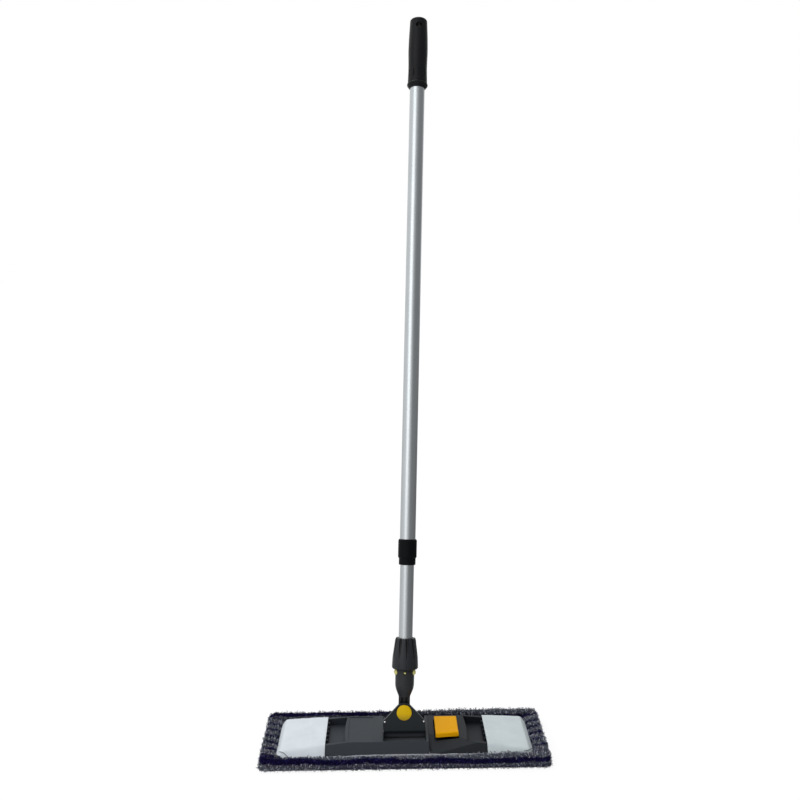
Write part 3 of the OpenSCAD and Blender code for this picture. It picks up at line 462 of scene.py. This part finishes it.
finishedParts = {
    "charcoalPolypropylene": ["left_frame"],
    "shadedPolypropylene": ["right_frame"],
    "darkGreyPolypropylene": ["yoke"],
    "blackPolypropylene": ["rocker"],
    "matBlackPolypropylene": ["guide_collar"],
    "glassFilledNylon": ["clamp_nut"],
    "softTouchGripPolypropylene": ["grip"],
    "glossYellowAbs": ["release_pedal"],
    "glossLemonAbs": ["pivot_cap_front", "pivot_cap_back"],
    "paleYellowAbs": ["stud_ring"],
    "naturalNylon": ["friction_washers", "collar_bush", "expander_plug", "expander_sleeve"],
    "satinAnodisedAluminium": ["inner_tube", "outer_tube"],
    "zincPlatedSteel": ["expander_screw", "fold_pin", "tilt_pin", "swivel_pin", "pedal_pin",
                        "pedal_spring", "keeper_plate"],
    "nickelPlatedMagnet": ["magnet"],
}
for finishName, partNames in finishedParts.items():
    for partName in partNames:
        for slot in nodes[partName].material_slots:
            slot.material = finish[finishName]
print("finishes on", sum(len(names) for names in finishedParts.values()), "parts")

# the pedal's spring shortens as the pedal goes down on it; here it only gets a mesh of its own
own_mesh(nodes["pedal_spring"])

# colours of the twisted fibres, from the darkest to the palest
yarn = {
    "grey": ((0.0, "#41444e"), (0.3, "#676a75"), (0.62, "#8a8d97"), (0.86, "#b2b5bf"),
             (1.0, "#e0e2ea")),
    "navy": ((0.0, "#0b0926"), (0.4, "#161344"), (0.75, "#1f1a54"), (0.93, "#2d2967"),
             (1.0, "#4b4a84")),
}


def loopYarn(name):
    # microfibre loop yarn: navy and grey ends twisted together, matt, a pale fibre here and
    # there, a soft sheen; real fibres are near 0.01 mm thick, and drawn coarser so that they show
    material, tree, where = newMaterial(name)
    stripe = addNode(tree, "ShaderNodeAttribute", attribute_name="stripe").outputs["Fac"]
    tone = addNode(tree, "ShaderNodeAttribute", attribute_name="tone").outputs["Fac"]
    dyed = {}
    for dye, stops in yarn.items():
        dyed[dye] = addNode(tree, "ShaderNodeValToRGB", {"Fac": tone})
        elements = dyed[dye].color_ramp.elements
        for element, (at, colour) in zip(elements, (stops[0], stops[-1])):
            element.position, element.color = at, linear(colour)
        for at, colour in stops[1:-1]:
            elements.new(at).color = linear(colour)
    mixed = addNode(tree, "ShaderNodeMix", {
        "Factor": stripe, "A": dyed["grey"], "B": dyed["navy"]}, data_type="RGBA")
    fibre = addNode(tree, "ShaderNodeTexNoise", {
        "Vector": where, "Scale": 1 / (0.7 * mm), "Detail": 2.0})
    shade = addNode(tree, "ShaderNodeMapRange", {
        "Value": fibre, "From Min": 0.3, "From Max": 0.7, "To Min": 0.7, "To Max": 1.3})
    coloured = addNode(tree, "ShaderNodeVectorMath", {0: mixed, "Scale": shade}, operation="SCALE")
    bump = addNode(tree, "ShaderNodeBump", {"Strength": 0.5, "Distance": 0.3 * mm, "Height": fibre})
    skin = addNode(tree, "ShaderNodeBsdfPrincipled", {
        "Base Color": coloured, "Roughness": 0.9, "Sheen Weight": 0.03, "Sheen Roughness": 0.5,
        "Specular IOR Level": 0.03, "Normal": bump})
    addNode(tree, "ShaderNodeOutputMaterial", {"Surface": skin})
    return material


def wovenCloth(name, colour, shadow, thread):
    # coated polyester cloth: plain weave of fine threads, almost matt, slightly soiled in its
    # folds; threads are really 0.3 mm apart, and drawn coarser so that they show
    material, tree, where = newMaterial(name)
    counted = addNode(tree, "ShaderNodeVectorMath", {
        0: where, "Scale": 1 / (thread * mm)}, operation="SCALE")
    axes = addNode(tree, "ShaderNodeSeparateXYZ", {0: counted}).outputs
    warp = addNode(tree, "ShaderNodeMath", {0: axes["X"]}, operation="SINE")
    weft = addNode(tree, "ShaderNodeMath", {0: axes["Y"]}, operation="SINE")
    weave = addNode(tree, "ShaderNodeMath", {0: warp, 1: weft}, operation="MULTIPLY")
    cloud = addNode(tree, "ShaderNodeTexNoise", {
        "Vector": where, "Scale": 1 / (28 * mm), "Detail": 4.0, "Roughness": 0.6})
    soil = addNode(tree, "ShaderNodeMapRange", {
        "Value": cloud, "From Min": 0.35, "From Max": 0.75})
    tone = addNode(tree, "ShaderNodeMix", {
        "Factor": soil, "A": linear(colour), "B": linear(shadow)}, data_type="RGBA")
    bump = addNode(tree, "ShaderNodeBump", {
        "Strength": 0.12, "Distance": 0.15 * mm, "Height": weave})
    skin = addNode(tree, "ShaderNodeBsdfPrincipled", {
        "Base Color": tone, "Roughness": 0.85, "Sheen Weight": 0.15, "Normal": bump})
    addNode(tree, "ShaderNodeOutputMaterial", {"Surface": skin})
    return material


pileYarn = loopYarn("microfibreLoopPile")
pocketCloth = wovenCloth("coatedPolyesterCloth", "#dfe7ed", "#d5dde4", thread=0.8)  # bluish white
shadedPocketCloth = wovenCloth("shadedPolyesterCloth", "#cfdadd", "#c4ced2", thread=0.8)  # the same cloth, darker: painted shade on the right pocket
backingCloth = wovenCloth("greyBackingFelt", "#6d717b", "#595d68", thread=1.1)      # dull grey, coarse
tapeCloth = wovenCloth("paleEdgeTape", "#d3d7dc", "#b4b9c1", thread=1.0)            # pale grey edge
sewingThread = wovenCloth("whiteSewingThread", "#e6e9ee", "#d5d9df", thread=0.5)    # bright white dots
darkThread = wovenCloth("darkLooseThread", "#3a3f3c", "#2b2f2e", thread=0.5)        # near black
print("yarn, cloth and thread")


# all in mm; foldStart and foldEnd bound the pile's fold, and creaseStart and creaseEnd a tighter
# crease for what is sewn to it; these four are not used
pad = {
    "length": 440, "depth": 137.9, "corner": 13, "borderWidth": 10.5, "borderHeight": 22,
    "endWidth": 24, "endHeight": 19, "inset": 1.9, "foldStart": 20.85, "foldEnd": 41.1,
    "creaseStart": 31.5, "creaseEnd": 42.5,
}
tuft = {
    "lengths": {"Spacing": 1.35, "Loop Width": 1.75, "Loop Height": 1.65, "Yarn Radius": 0.32},
    "soleLengths": {"Spacing": 4.2, "Loop Width": 5.2, "Loop Height": 2.6},
    "lean": 0.5, "smallest": 0.7, "largest": 1.6, "lowest": 0.15, "seed": 11, "soleSeed": 20,
}
# start, middle and end of a loop, in loop widths and heights: upright, leaning, cut open
loopBows = (((-0.5, 0, -0.35), (0, 0.1, 2.1), (0.5, 0.1, -0.3)),
            ((0, 0, -0.35), (0.7, 0.3, 1.9), (0.95, 0.6, -0.1)),
            ((0, 0, -0.35), (-0.5, 0.2, 1.3), (0.75, 0.7, 1.35)))


def pileTree(name):
    # loops of yarn scattered over a skin, leaning every way, pressed flat where they meet the floor
    tree, given = newTree(name, tuft["lengths"], tuft["seed"])
    scattered = addNode(tree, "GeometryNodeDistributePointsOnFaces", {
        "Mesh": given["Geometry"], "Distance Min": given["Spacing"], "Density Max": 400000.0,
        "Seed": given["Seed"]}, distribute_method="POISSON")
    tone = addNode(tree, "FunctionNodeRandomValue", {
        2: 0.0, 3: 1.0, "Seed": given["Seed"]}, data_type="FLOAT")
    toned = addNode(tree, "GeometryNodeStoreNamedAttribute", {
        "Geometry": scattered, "Name": "tone", "Value": tone}, data_type="FLOAT", domain="POINT")
    section = addNode(tree, "GeometryNodeCurvePrimitiveCircle", {
        "Resolution": 3, "Radius": given["Yarn Radius"]}, mode="RADIUS")
    size = addNode(tree, "ShaderNodeCombineXYZ", {
        "X": given["Loop Width"], "Y": given["Loop Width"], "Z": given["Loop Height"]})
    loops = []
    for bow in loopBows:
        start, middle, end = (addNode(tree, "ShaderNodeVectorMath", {
            0: size, 1: point}, operation="MULTIPLY") for point in bow)
        curve = addNode(tree, "GeometryNodeCurveQuadraticBezier", {
            "Resolution": 4, "Start": start, "Middle": middle, "End": end})
        loops.append(addNode(tree, "GeometryNodeCurveToMesh", {
            "Curve": curve, "Profile Curve": section, "Fill Caps": True}))
    choice = addNode(tree, "GeometryNodeGeometryToInstance", {0: loops})
    pick = addNode(tree, "FunctionNodeRandomValue", {
        4: 0, 5: len(loopBows) - 1, "Seed": 5}, data_type="INT")
    growth = addNode(tree, "FunctionNodeRandomValue", {
        2: tuft["smallest"], 3: tuft["largest"], "Seed": 6}, data_type="FLOAT")
    placed = addNode(tree, "GeometryNodeInstanceOnPoints", {
        "Points": toned, "Instance": choice, "Pick Instance": True, "Instance Index": pick,
        "Rotation": scattered.outputs["Rotation"], "Scale": growth})
    most = tuft["lean"]
    lean = addNode(tree, "FunctionNodeRandomValue", {
        0: (-most, -most, 0.0), 1: (most, most, 2 * math.pi), "Seed": 7}, data_type="FLOAT_VECTOR")
    leant = addNode(tree, "GeometryNodeRotateInstances", {
        "Instances": placed, "Rotation": lean, "Local Space": True})
    real = addNode(tree, "GeometryNodeRealizeInstances", {"Geometry": leant})
    both = addNode(tree, "GeometryNodeJoinGeometry", {0: [real, given["Geometry"]]})
    place = addNode(tree, "GeometryNodeInputPosition")
    axes = addNode(tree, "ShaderNodeSeparateXYZ", {0: place}).outputs
    lifted = addNode(tree, "ShaderNodeMath", {
        0: axes["Z"], 1: tuft["lowest"] * mm}, operation="MAXIMUM")
    pressed = addNode(tree, "ShaderNodeCombineXYZ", {"X": axes["X"], "Y": axes["Y"], "Z": lifted})
    flat = addNode(tree, "GeometryNodeSetPosition", {"Geometry": both, "Position": pressed})
    endTree(tree, flat, given["Material"])
    return tree


loopPile = pileTree("loopPile")


def growPile(skin, name, seed, lengths):
    values = {label: length * mm for label, length in lengths.items()}
    values.update({"Seed": seed, "Material": pileYarn})
    return runTree(loopPile, skin, name, values)


# rows of dyed yarn; heights and places in mm where one colour turns to the other
stripe = {
    "pitch": 18.5, "turn": (0.5, 0.9), "frontFoot": (6.7, 8.1), "frontTop": (14.2, 15.6),
    # the navy mixed into the front's foot near the floor, partly painted shade, the heights where it
    # fades out and the places along x where it comes in
    "leftDip": 3, "footShade": 0.5, "footShadeTop": (3.5, 6.5), "footShadeFrom": (-150, -90),
    "backTop": (16, 18.5), "backSwap": (60, -60),
}


def stripeAt(x, y, z):
    # 1 in a navy row and 0 in a grey one; rows run along the pad and wrap over its border
    slow = noise.noise(Vector((x * 0.02, y * 0.05, z * 0.05)))
    quick = noise.noise(Vector((x * 0.08, y * 0.2, 3)))
    wander = 2.2 * slow + 1.2 * quick
    halfDepth = pad["depth"] / 2
    if y < -halfDepth + pad["borderWidth"] + 1:     # front: grey, navy, grey from top to floor
        rise = z + wander - stripe["leftDip"] * smooth(-120, -210, x)
        row = smooth(*stripe["frontFoot"], rise) * (1 - smooth(*stripe["frontTop"], rise))
        # near the floor the front's foot turns part navy, darker and bluer, except at the left end:
        # partly the navy yarn, partly painted shade
        nearFloor = 1 - smooth(*stripe["footShadeTop"], rise)
        return row + stripe["footShade"] * nearFloor * smooth(*stripe["footShadeFrom"], x)
    if y > halfDepth - pad["borderWidth"] - 1:      # back: navy on top at the left, grey at right
        top = smooth(*stripe["backTop"], z + wander)
        navyTop = smooth(*stripe["backSwap"], x)
        return top * navyTop + (1 - top) * (1 - navyTop)
    wave = 0.5 + 0.5 * math.cos(2 * math.pi * (y + 1.0 + wander) / stripe["pitch"])
    return smooth(*stripe["turn"], wave)


def paintStripes(piece):
    mesh = piece.data
    values = mesh.attributes.new("stripe", "FLOAT", "POINT")
    values.data.foreach_set("value", [stripeAt(*(v.co / mm)) for v in mesh.vertices])
    # painted shade deep in the pile: the skin under the loops takes the darkest tone
    tones = mesh.attributes.new("tone", "FLOAT", "POINT")       # the skin under the loops is dark
    tones.data.foreach_set("value", [0.05] * len(mesh.vertices))


# the front border is trodden flatter than the back one and its foot spreads; bushyFrom and
# bushyTo are where, to the right, it stands up again
lie = {"step": 2.5, "frontDrop": 3.9, "bushyFrom": 60, "bushyTo": 170, "backRise": 1.6,
       "backRiseRight": 1.9, "flareFront": 6.2, "flareEnd": 1.6, "flareCurve": 1.3,
       "cornerPush": 1.8, "foot": 1.3, "wallFoot": 3.2, "topGap": 0.6}


def borderPath():
    # centre line of the border, from the middle of the back, anticlockwise, in even steps
    half = pad["borderWidth"] / 2
    r = pad["corner"] - half
    lx, ly = pad["length"] / 2 - pad["corner"], pad["depth"] / 2 - pad["corner"]
    points = []
    for cx, cy, first in ((lx, ly, 0), (-lx, ly, 90), (-lx, -ly, 180), (lx, -ly, 270)):
        for k in range(7):
            a = math.radians(first + 90 * k / 6)
            points.append(Vector((cx + r * math.cos(a), cy + r * math.sin(a), 0)))
    points.append(points[0])
    steps = []
    for a, b in zip(points, points[1:]):
        count = max(1, round((b - a).length / lie["step"]))
        steps += [a.lerp(b, i / count) for i in range(count)]
    return steps


def rollSection():
    # upright section of the border, round on top, flat and slightly spread at the floor
    half = pad["borderWidth"] / 2 - pad["inset"]
    top = pad["borderHeight"] - pad["inset"] - lie["topGap"]
    low = lie["wallFoot"]
    wall = [low + (top - half - low) * k / 8 for k in range(8)]
    outline = [(-half * 0.8, lie["foot"])] + [(-half, z) for z in wall]
    for k in range(17):
        a = math.pi * (1 - k / 16)
        outline.append((half * math.cos(a), top - half + half * math.sin(a)))
    return outline + [(half, z) for z in reversed(wall)] + [(half * 0.95, lie["foot"])]


def borderRoll(name, low, high):
    # the stretch of the border between two steps of its path, as a lumpy roll
    path = borderPath()
    count = len(path)
    section = rollSection()
    top = pad["borderHeight"] - pad["inset"]
    rows = []
    for i in range(low, high + 1):
        here, ahead, behind = path[i % count], path[(i + 1) % count], path[(i - 1) % count]
        along = (ahead - behind).normalized()
        across = Vector((along.y, -along.x, 0))      # outwards, as the path runs anticlockwise
        front, back = max(0.0, -across.y), max(0.0, across.y)
        bushy = smooth(lie["bushyFrom"], lie["bushyTo"], here.x)
        drop = front * lie["frontDrop"] * (1 - 1.2 * bushy)
        rightRise = lie["backRiseRight"] * smooth(0, 120, here.x)
        stretch = (top - drop + back * (lie["backRise"] + rightRise)) / top
        foot = lie["flareEnd"] + (lie["flareFront"] - lie["flareEnd"]) * front - back
        push = lie["cornerPush"] * abs(2 * across.x * across.y)
        row = []
        for u, z in section:
            swell = 1 + 0.16 * noise.noise(here * 0.09 + Vector((u * 0.2, 0, z * 0.1)))
            lump = 0.985 + 0.05 * noise.noise(here * 0.05 + Vector((0, 0, u * 0.1)))
            rise = z * stretch * lump
            spread = foot * max(0.0, 1 - z / top) ** lie["flareCurve"] if u > 0 else 0.0
            height = Vector((0, 0, max(lie["foot"], rise)))
            row.append((here + across * (u * swell + spread + push) + height) * mm)
        rows.append(row)
    return gridMesh(name, rows, closed=True)


# steps along and across the band; slope is the share of its width that rises from the felt
band = {"along": 44, "across": 12, "slope": 0.15, "felt": 9.5, "topGap": 0.4, "shoulder": 3.0,
        "roundTo": 0.4, "lump": 0.9}


def endBand(name, side):
    # the wide band of pile across one end: a low crowned cushion inside the border
    inner = pad["length"] / 2 - pad["endWidth"] + pad["inset"]
    outer = pad["length"] / 2 - pad["borderWidth"] / 2
    halfDepth = pad["depth"] / 2 - pad["borderWidth"] / 2
    crown = pad["endHeight"] - pad["inset"] - band["topGap"]
    slope, shoulder = band["slope"], band["shoulder"]
    rows = []
    for i in range(band["along"] + 1):
        y = -halfDepth + 2 * halfDepth * i / band["along"]
        row = []
        for k in range(band["across"] + 1):
            t = k / band["across"]
            x = inner + (outer - inner) * max(0.0, (t - slope) / (1 - slope))
            if t <= slope:
                z = band["felt"] + (crown - (band["felt"] + shoulder)) * t / slope
            else:
                z = crown - shoulder * (1 - smooth(slope, band["roundTo"], t))
            z += band["lump"] * noise.noise(Vector((x * 0.1, y * 0.08, side * 5)))
            row.append(Vector((side * x, y, z)) * mm)
        rows.append(row if side > 0 else row[::-1])
    return gridMesh(name, rows)


sole = {"endGap": 11, "sideGap": 9, "along": 70, "across": 22, "height": 2.6}


def soleSkin():
    # underside of the pad, facing down, whose loops lie flat on the floor
    halfX, halfY = pad["length"] / 2 - sole["endGap"], pad["depth"] / 2 - sole["sideGap"]
    rows = []
    for i in range(sole["along"] + 1):
        x = -halfX + 2 * halfX * i / sole["along"]
        rows.append([Vector((x, halfY - 2 * halfY * k / sole["across"], sole["height"])) * mm
                     for k in range(sole["across"] + 1)])
    return gridMesh("padUnderside", rows)


def makePile():
    path = borderPath()
    count = len(path)
    edge = pad["length"] / 2 - pad["corner"]
    front = [i for i, p in enumerate(path) if abs(p.x) <= edge and p.y < 0]
    back = [i for i, p in enumerate(path) if abs(p.x) <= edge and p.y > 0]
    left = [i for i, p in enumerate(path) if p.x < -edge + 0.01]
    right = [i for i, p in enumerate(path) if p.x > edge - 0.01]
    right = sorted(i if i > count / 2 else i + count for i in right)    # runs through the start
    skins = {
        "pile_front": borderRoll("rollFront", front[0] - 1, front[-1] + 1),
        "pile_back": borderRoll("rollBack", back[0] - 1, back[-1] + 1),
        "pile_left": joinPieces("endLeft", [borderRoll("rollLeft", left[0], left[-1]),
                                            endBand("bandLeft", -1)]),
        "pile_right": joinPieces("endRight", [borderRoll("rollRight", right[0], right[-1]),
                                              endBand("bandRight", 1)]),
        "pile_under": soleSkin(),
    }
    pieces = {}
    for k, (name, skin) in enumerate(skins.items()):
        paintStripes(skin)
        if name == "pile_under":
            pieces[name] = growPile(skin, name, tuft["soleSeed"], tuft["soleLengths"])
        else:
            pieces[name] = growPile(skin, name, tuft["seed"] + k, {})
        print(name, len(pieces[name].data.polygons), "faces")
    return pieces


def bendAcross(piece):
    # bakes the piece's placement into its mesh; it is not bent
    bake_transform(piece)


pileBodies = {"pile_left": "left_wing", "pile_right": "right_wing"}
pileNodes = {"pile_left": "pad_left", "pile_right": "pad_right", "pile_under": "pad_middle"}
for pileName, piece in makePile().items():
    if pileName in pileBodies:
        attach(piece, pileBodies[pileName])
    else:
        bendAcross(piece)
    if pileName in pileNodes:
        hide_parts(pileNodes[pileName])


backing = {"endGap": 12, "sideGap": 7, "along": 110, "across": 24, "top": 10.1, "ripple": 0.25,
           "thick": 0.8}


def makeBacking():
    # the felt that carries the pile, flat under the frame
    halfX, halfY = pad["length"] / 2 - backing["endGap"], pad["depth"] / 2 - backing["sideGap"]
    rows = []
    for i in range(backing["along"] + 1):
        x = -halfX + 2 * halfX * i / backing["along"]
        row = []
        for k in range(backing["across"] + 1):
            y = -halfY + 2 * halfY * k / backing["across"]
            ripple = backing["ripple"] * noise.noise(Vector((x * 0.05, k * 0.4, 1)))
            row.append(Vector((x, y, backing["top"] + ripple)) * mm)
        rows.append(row)
    felt = gridMesh("pad_backing", rows, backingCloth)
    thick = felt.modifiers.new("felt", "SOLIDIFY")
    thick.thickness, thick.offset = backing["thick"] * mm, -1
    bendAcross(felt)
    print("backing felt", round(2 * halfX), "x", round(2 * halfY, 1), "mm")


makeBacking()


def stitchTree(name):
    # short straight stitches of thread laid end to end, with gaps, along a line
    tree, given = newTree(name, {"Pitch": 3.0, "Stitch Length": 2.0, "Thread Radius": 0.3}, 3)
    line = addNode(tree, "GeometryNodeMeshToCurve", {"Mesh": given["Geometry"]})
    holes = addNode(tree, "GeometryNodeCurveToPoints", {
        "Curve": line, "Length": given["Pitch"]}, mode="LENGTH")
    bead = addNode(tree, "GeometryNodeMeshUVSphere", {"Segments": 6, "Rings": 5, "Radius": 1.0})
    half = addNode(tree, "ShaderNodeMath", {
        0: given["Stitch Length"], 1: 0.5}, operation="MULTIPLY")
    form = addNode(tree, "ShaderNodeCombineXYZ", {
        "X": given["Thread Radius"], "Y": given["Thread Radius"], "Z": half})
    shaped = addNode(tree, "GeometryNodeTransform", {"Geometry": bead, "Scale": form})
    size = addNode(tree, "FunctionNodeRandomValue", {
        2: 0.8, 3: 1.15, "Seed": given["Seed"]}, data_type="FLOAT")
    laid = addNode(tree, "GeometryNodeInstanceOnPoints", {
        "Points": holes, "Instance": shaped, "Rotation": holes.outputs["Rotation"], "Scale": size})
    real = addNode(tree, "GeometryNodeRealizeInstances", {"Geometry": laid})
    endTree(tree, real, given["Material"])
    return tree


stitchRow = stitchTree("stitchRow")


def sewRow(name, points, seam):
    # stitches of white thread along a line of points in mm
    line = bpy.data.meshes.new(name)
    line.from_pydata([tuple(p * mm) for p in points],
                     [(i, i + 1) for i in range(len(points) - 1)], [])
    start = bpy.data.objects.new(name + "Line", line)
    scene.collection.objects.link(start)
    return runTree(stitchRow, start, name,
                   {"Pitch": seam["pitch"] * mm, "Stitch Length": seam["stitch"] * mm,
                    "Thread Radius": seam["thread"] * mm, "Seed": seam["seed"],
                    "Material": sewingThread})


# inner, foot and top shape its section: from under the frame, flat, and up behind the border
tape = {"from": -118, "to": 118, "y": -58.3, "inner": -53.2, "foot": 10.95, "top": 16.5,
        "bend": 0.6, "thick": 0.5, "leftDip": 1.6,
        "seam": {"pitch": 6.5, "stitch": 3.2, "thread": 0.42, "seed": 8}}


def makeTape():
    # the pale edge of the backing, turned up behind the front border, with the white thread that
    # holds it
    rows, edge = [], []
    foot, bend = tape["foot"], tape["bend"]
    for i in range(119):
        x = tape["from"] + (tape["to"] - tape["from"]) * i / 118
        top = (tape["top"] - tape["leftDip"] * smooth(-60, -95, x)
               + 0.5 * noise.noise(Vector((x * 0.06, 2, 5))))
        y = tape["y"] + 0.35 * noise.noise(Vector((x * 0.05, 7, 1)))
        section = [(tape["inner"], foot), ((tape["inner"] + y) / 2, foot), (y + bend, foot),
                   (y + 0.1, foot + bend)]
        section += [(y, foot + bend + (top - foot - bend) * k / 4) for k in range(1, 5)]
        rows.append([Vector((x, v, z)) * mm for v, z in section])
        edge.append(Vector((x, y - 0.3, top - 0.1)))
    ribbon = gridMesh("edge_tape", rows, tapeCloth)
    thick = ribbon.modifiers.new("tape", "SOLIDIFY")
    thick.thickness, thick.offset = tape["thick"] * mm, 0
    stitches = sewRow("tape_stitches", edge, tape["seam"])
    for piece in (ribbon, stitches):
        bendAcross(piece)


makeTape()


# the wing under the cloth runs flat to thinX and thins to tipX; the cloth goes on to reach
pocket = {
    "tipX": 188, "thinX": 88, "baseZ": 11.5, "topZ": 29, "tipZ": 20, "halfTop": 39.5,
    "halfBase": 52.8, "frameY": -4, "clear": 0.45, "thick": 1.0, "reach": 195.5, "foot": 12.2,
    "spread": 2.6, "round": 16, "girthSteps": 56, "reachSteps": 42, "slack": 0.15,
    "crease": 0.35, "creaseAt": 23, "creaseWidth": 2.2, "hemInset": 2.4,
    "seam": {"pitch": 3.0, "stitch": 2.1, "thread": 0.26, "seed": 4},
}
# what differs from one side to the other; end is a loose end of dark thread at the front corner
pockets = {
    "pocket_cloth_left": {
        "side": -1, "mouth": 121.3, "cloth": pocketCloth, "body": "left_wing",
        "node": "pocket_left", "frame": "left_frame",
        "end": ((-190.8, -50.8, 19.6), (-188.3, -52.8, 20.6), (-185.9, -53.6, 20.5),
                (-184.1, -54.2, 19.9), (-182.8, -54.8, 19.3), (-181.2, -55.7, 18.4),
                (-179.4, -57.0, 17.2), (-177.1, -58.6, 15.9))},
    "pocket_cloth_right": {
        "side": 1, "mouth": 126, "cloth": shadedPocketCloth, "body": "right_wing",
        "node": "pocket_right", "frame": "right_frame",
        "end": ((181.0, -55.9, 18.2), (185.3, -55.6, 18.7), (188.4, -55.0, 19.1),
                (191.1, -52.9, 18.9), (194.7, -46.0, 16.8), (197.0, -41.5, 15.4))},
}
looseThread = {"radius": 0.45, "sides": 6}


def layThread(name, points):
    # a loose thread along a line of points in mm
    sides = looseThread["sides"]
    rings = []
    for i, point in enumerate(points):
        ahead, behind = points[min(i + 1, len(points) - 1)], points[max(i - 1, 0)]
        along = (ahead - behind).normalized()
        side = along.cross(Vector((0, 0, 1))).normalized()
        over = side.cross(along)
        angles = [2 * math.pi * k / sides for k in range(sides)]
        rings.append([(point + (side * math.cos(a) - over * math.sin(a)) * looseThread["radius"])
                      * mm for a in angles])
    return gridMesh(name, rings, darkThread, closed=True, capped=True)


def clothHeight(x, y):
    # height of the cloth over the wing: flat top thinning to the tip, sloping front and back
    thinned = max(0, x - pocket["thinX"]) / (pocket["tipX"] - pocket["thinX"])
    top = pocket["topZ"] - (pocket["topZ"] - pocket["tipZ"]) * thinned
    rise, run = pocket["topZ"] - pocket["baseZ"] - 2, pocket["halfBase"] - pocket["halfTop"]
    side = pocket["topZ"] - rise / run * (abs(y - pocket["frameY"]) - pocket["halfTop"])
    return min(top + pocket["clear"], side + pocket["clear"] * 1.65)


def pocketRow(side, mouth, x):
    # one girth of the cloth at x, from the front foot over the wing to the back foot
    steps, corner = pocket["girthSteps"], pocket["round"]
    over = max(0.0, x - (pocket["reach"] - corner))         # its outer corners are round in plan
    cut = corner - math.sqrt(max(0.0, corner ** 2 - over * over))
    width = pocket["halfBase"] + pocket["spread"] - cut
    row = []
    for k in range(steps + 1):
        y = pocket["frameY"] + (-1 + 2 * k / steps) * width
        z = max(clothHeight(min(x, pocket["tipX"]), y), pocket["foot"])
        # past the frame's end the cloth falls to the pad, drawn in a soft curve
        z += (pocket["foot"] - z) * smooth(pocket["tipX"] - 0.5, pocket["reach"], x)
        wave = (0.35 * noise.noise(Vector((x * 0.05, y * 0.06, side * 3)))
                + 0.25 * noise.noise(Vector((x * 0.16, y * 0.12, 7 + side))))
        z += (abs(wave) + pocket["slack"]) * smooth(0, 8, x - mouth)
        # a soft crease across the cloth where it was folded in its packet
        off = (x - mouth - pocket["creaseAt"] - 0.05 * y) / pocket["creaseWidth"]
        z += pocket["crease"] * math.exp(-off ** 2)
        row.append(Vector((side * x, y, z)))
    return row


def hemLine(side, mouth):
    # where the thread runs along the mouth of the pocket, on the cloth's outer face
    row = pocketRow(side, mouth, mouth + pocket["hemInset"])
    line = []
    for k in range(2, len(row) - 2):
        along = (row[k + 1] - row[k - 1]).normalized()
        line.append(row[k] + Vector((0, -along.z, along.y)) * (pocket["thick"] + 0.1))
    return line


def makePocket(name, own):
    side, mouth = own["side"], own["mouth"]
    rows = []
    for i in range(pocket["reachSteps"] + 1):
        x = mouth + (pocket["reach"] - mouth) * i / pocket["reachSteps"]
        row = pocketRow(side, mouth, x)
        rows.append([p * mm for p in (row if side < 0 else row[::-1])])
    cloth = gridMesh(name, rows, own["cloth"])
    soft = cloth.modifiers.new("soft", "SUBSURF")
    soft.levels = soft.render_levels = 1
    thick = cloth.modifiers.new("cloth", "SOLIDIFY")
    thick.thickness, thick.offset = pocket["thick"] * mm, 1
    hem = sewRow(name + "_hem", hemLine(side, mouth), pocket["seam"])
    end = layThread(name + "_thread", [Vector(p) for p in own["end"]])
    for piece in (cloth, hem, end):
        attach(piece, own["body"])
    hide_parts(own["node"])


for pocketName, own in pockets.items():
    makePocket(pocketName, own)


# pivot is the rocker's own axis, and tilt how far it leans back from it
rivet = {"x": 30.2, "y": -16.5, "z": 19.4, "radius": 1.35, "rise": 0.8, "tilt": 15,
         "pivot": (0, -5, 23.5), "rings": 5, "sides": 16}


def makeRivets():
    # two bright steel heads on the rocker's shoulders: shallow domes
    tilt = math.radians(rivet["tilt"])
    for name, side in (("rivet_left", -1), ("rivet_right", 1)):
        rows = []
        for i in range(rivet["rings"] + 1):
            a = math.pi / 2 * i / rivet["rings"]
            r = rivet["radius"] * max(0.1, math.cos(a))
            y = rivet["y"] + 0.1 - rivet["rise"] * math.sin(a)
            row = []
            for k in range(rivet["sides"]):
                t = 2 * math.pi * k / rivet["sides"]
                x, z = side * rivet["x"] + r * math.cos(t), rivet["z"] + r * math.sin(t)
                turned = Vector((x, math.cos(tilt) * y + math.sin(tilt) * z,
                                 -math.sin(tilt) * y + math.cos(tilt) * z))
                row.append(turned * mm + Vector(rivet["pivot"]) * mm)
            rows.append(row)
        head = gridMesh(name, rows, finish["brightRivetSteel"], closed=True, capped=True)
        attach(head, "head")


makeRivets()
print("rivets")
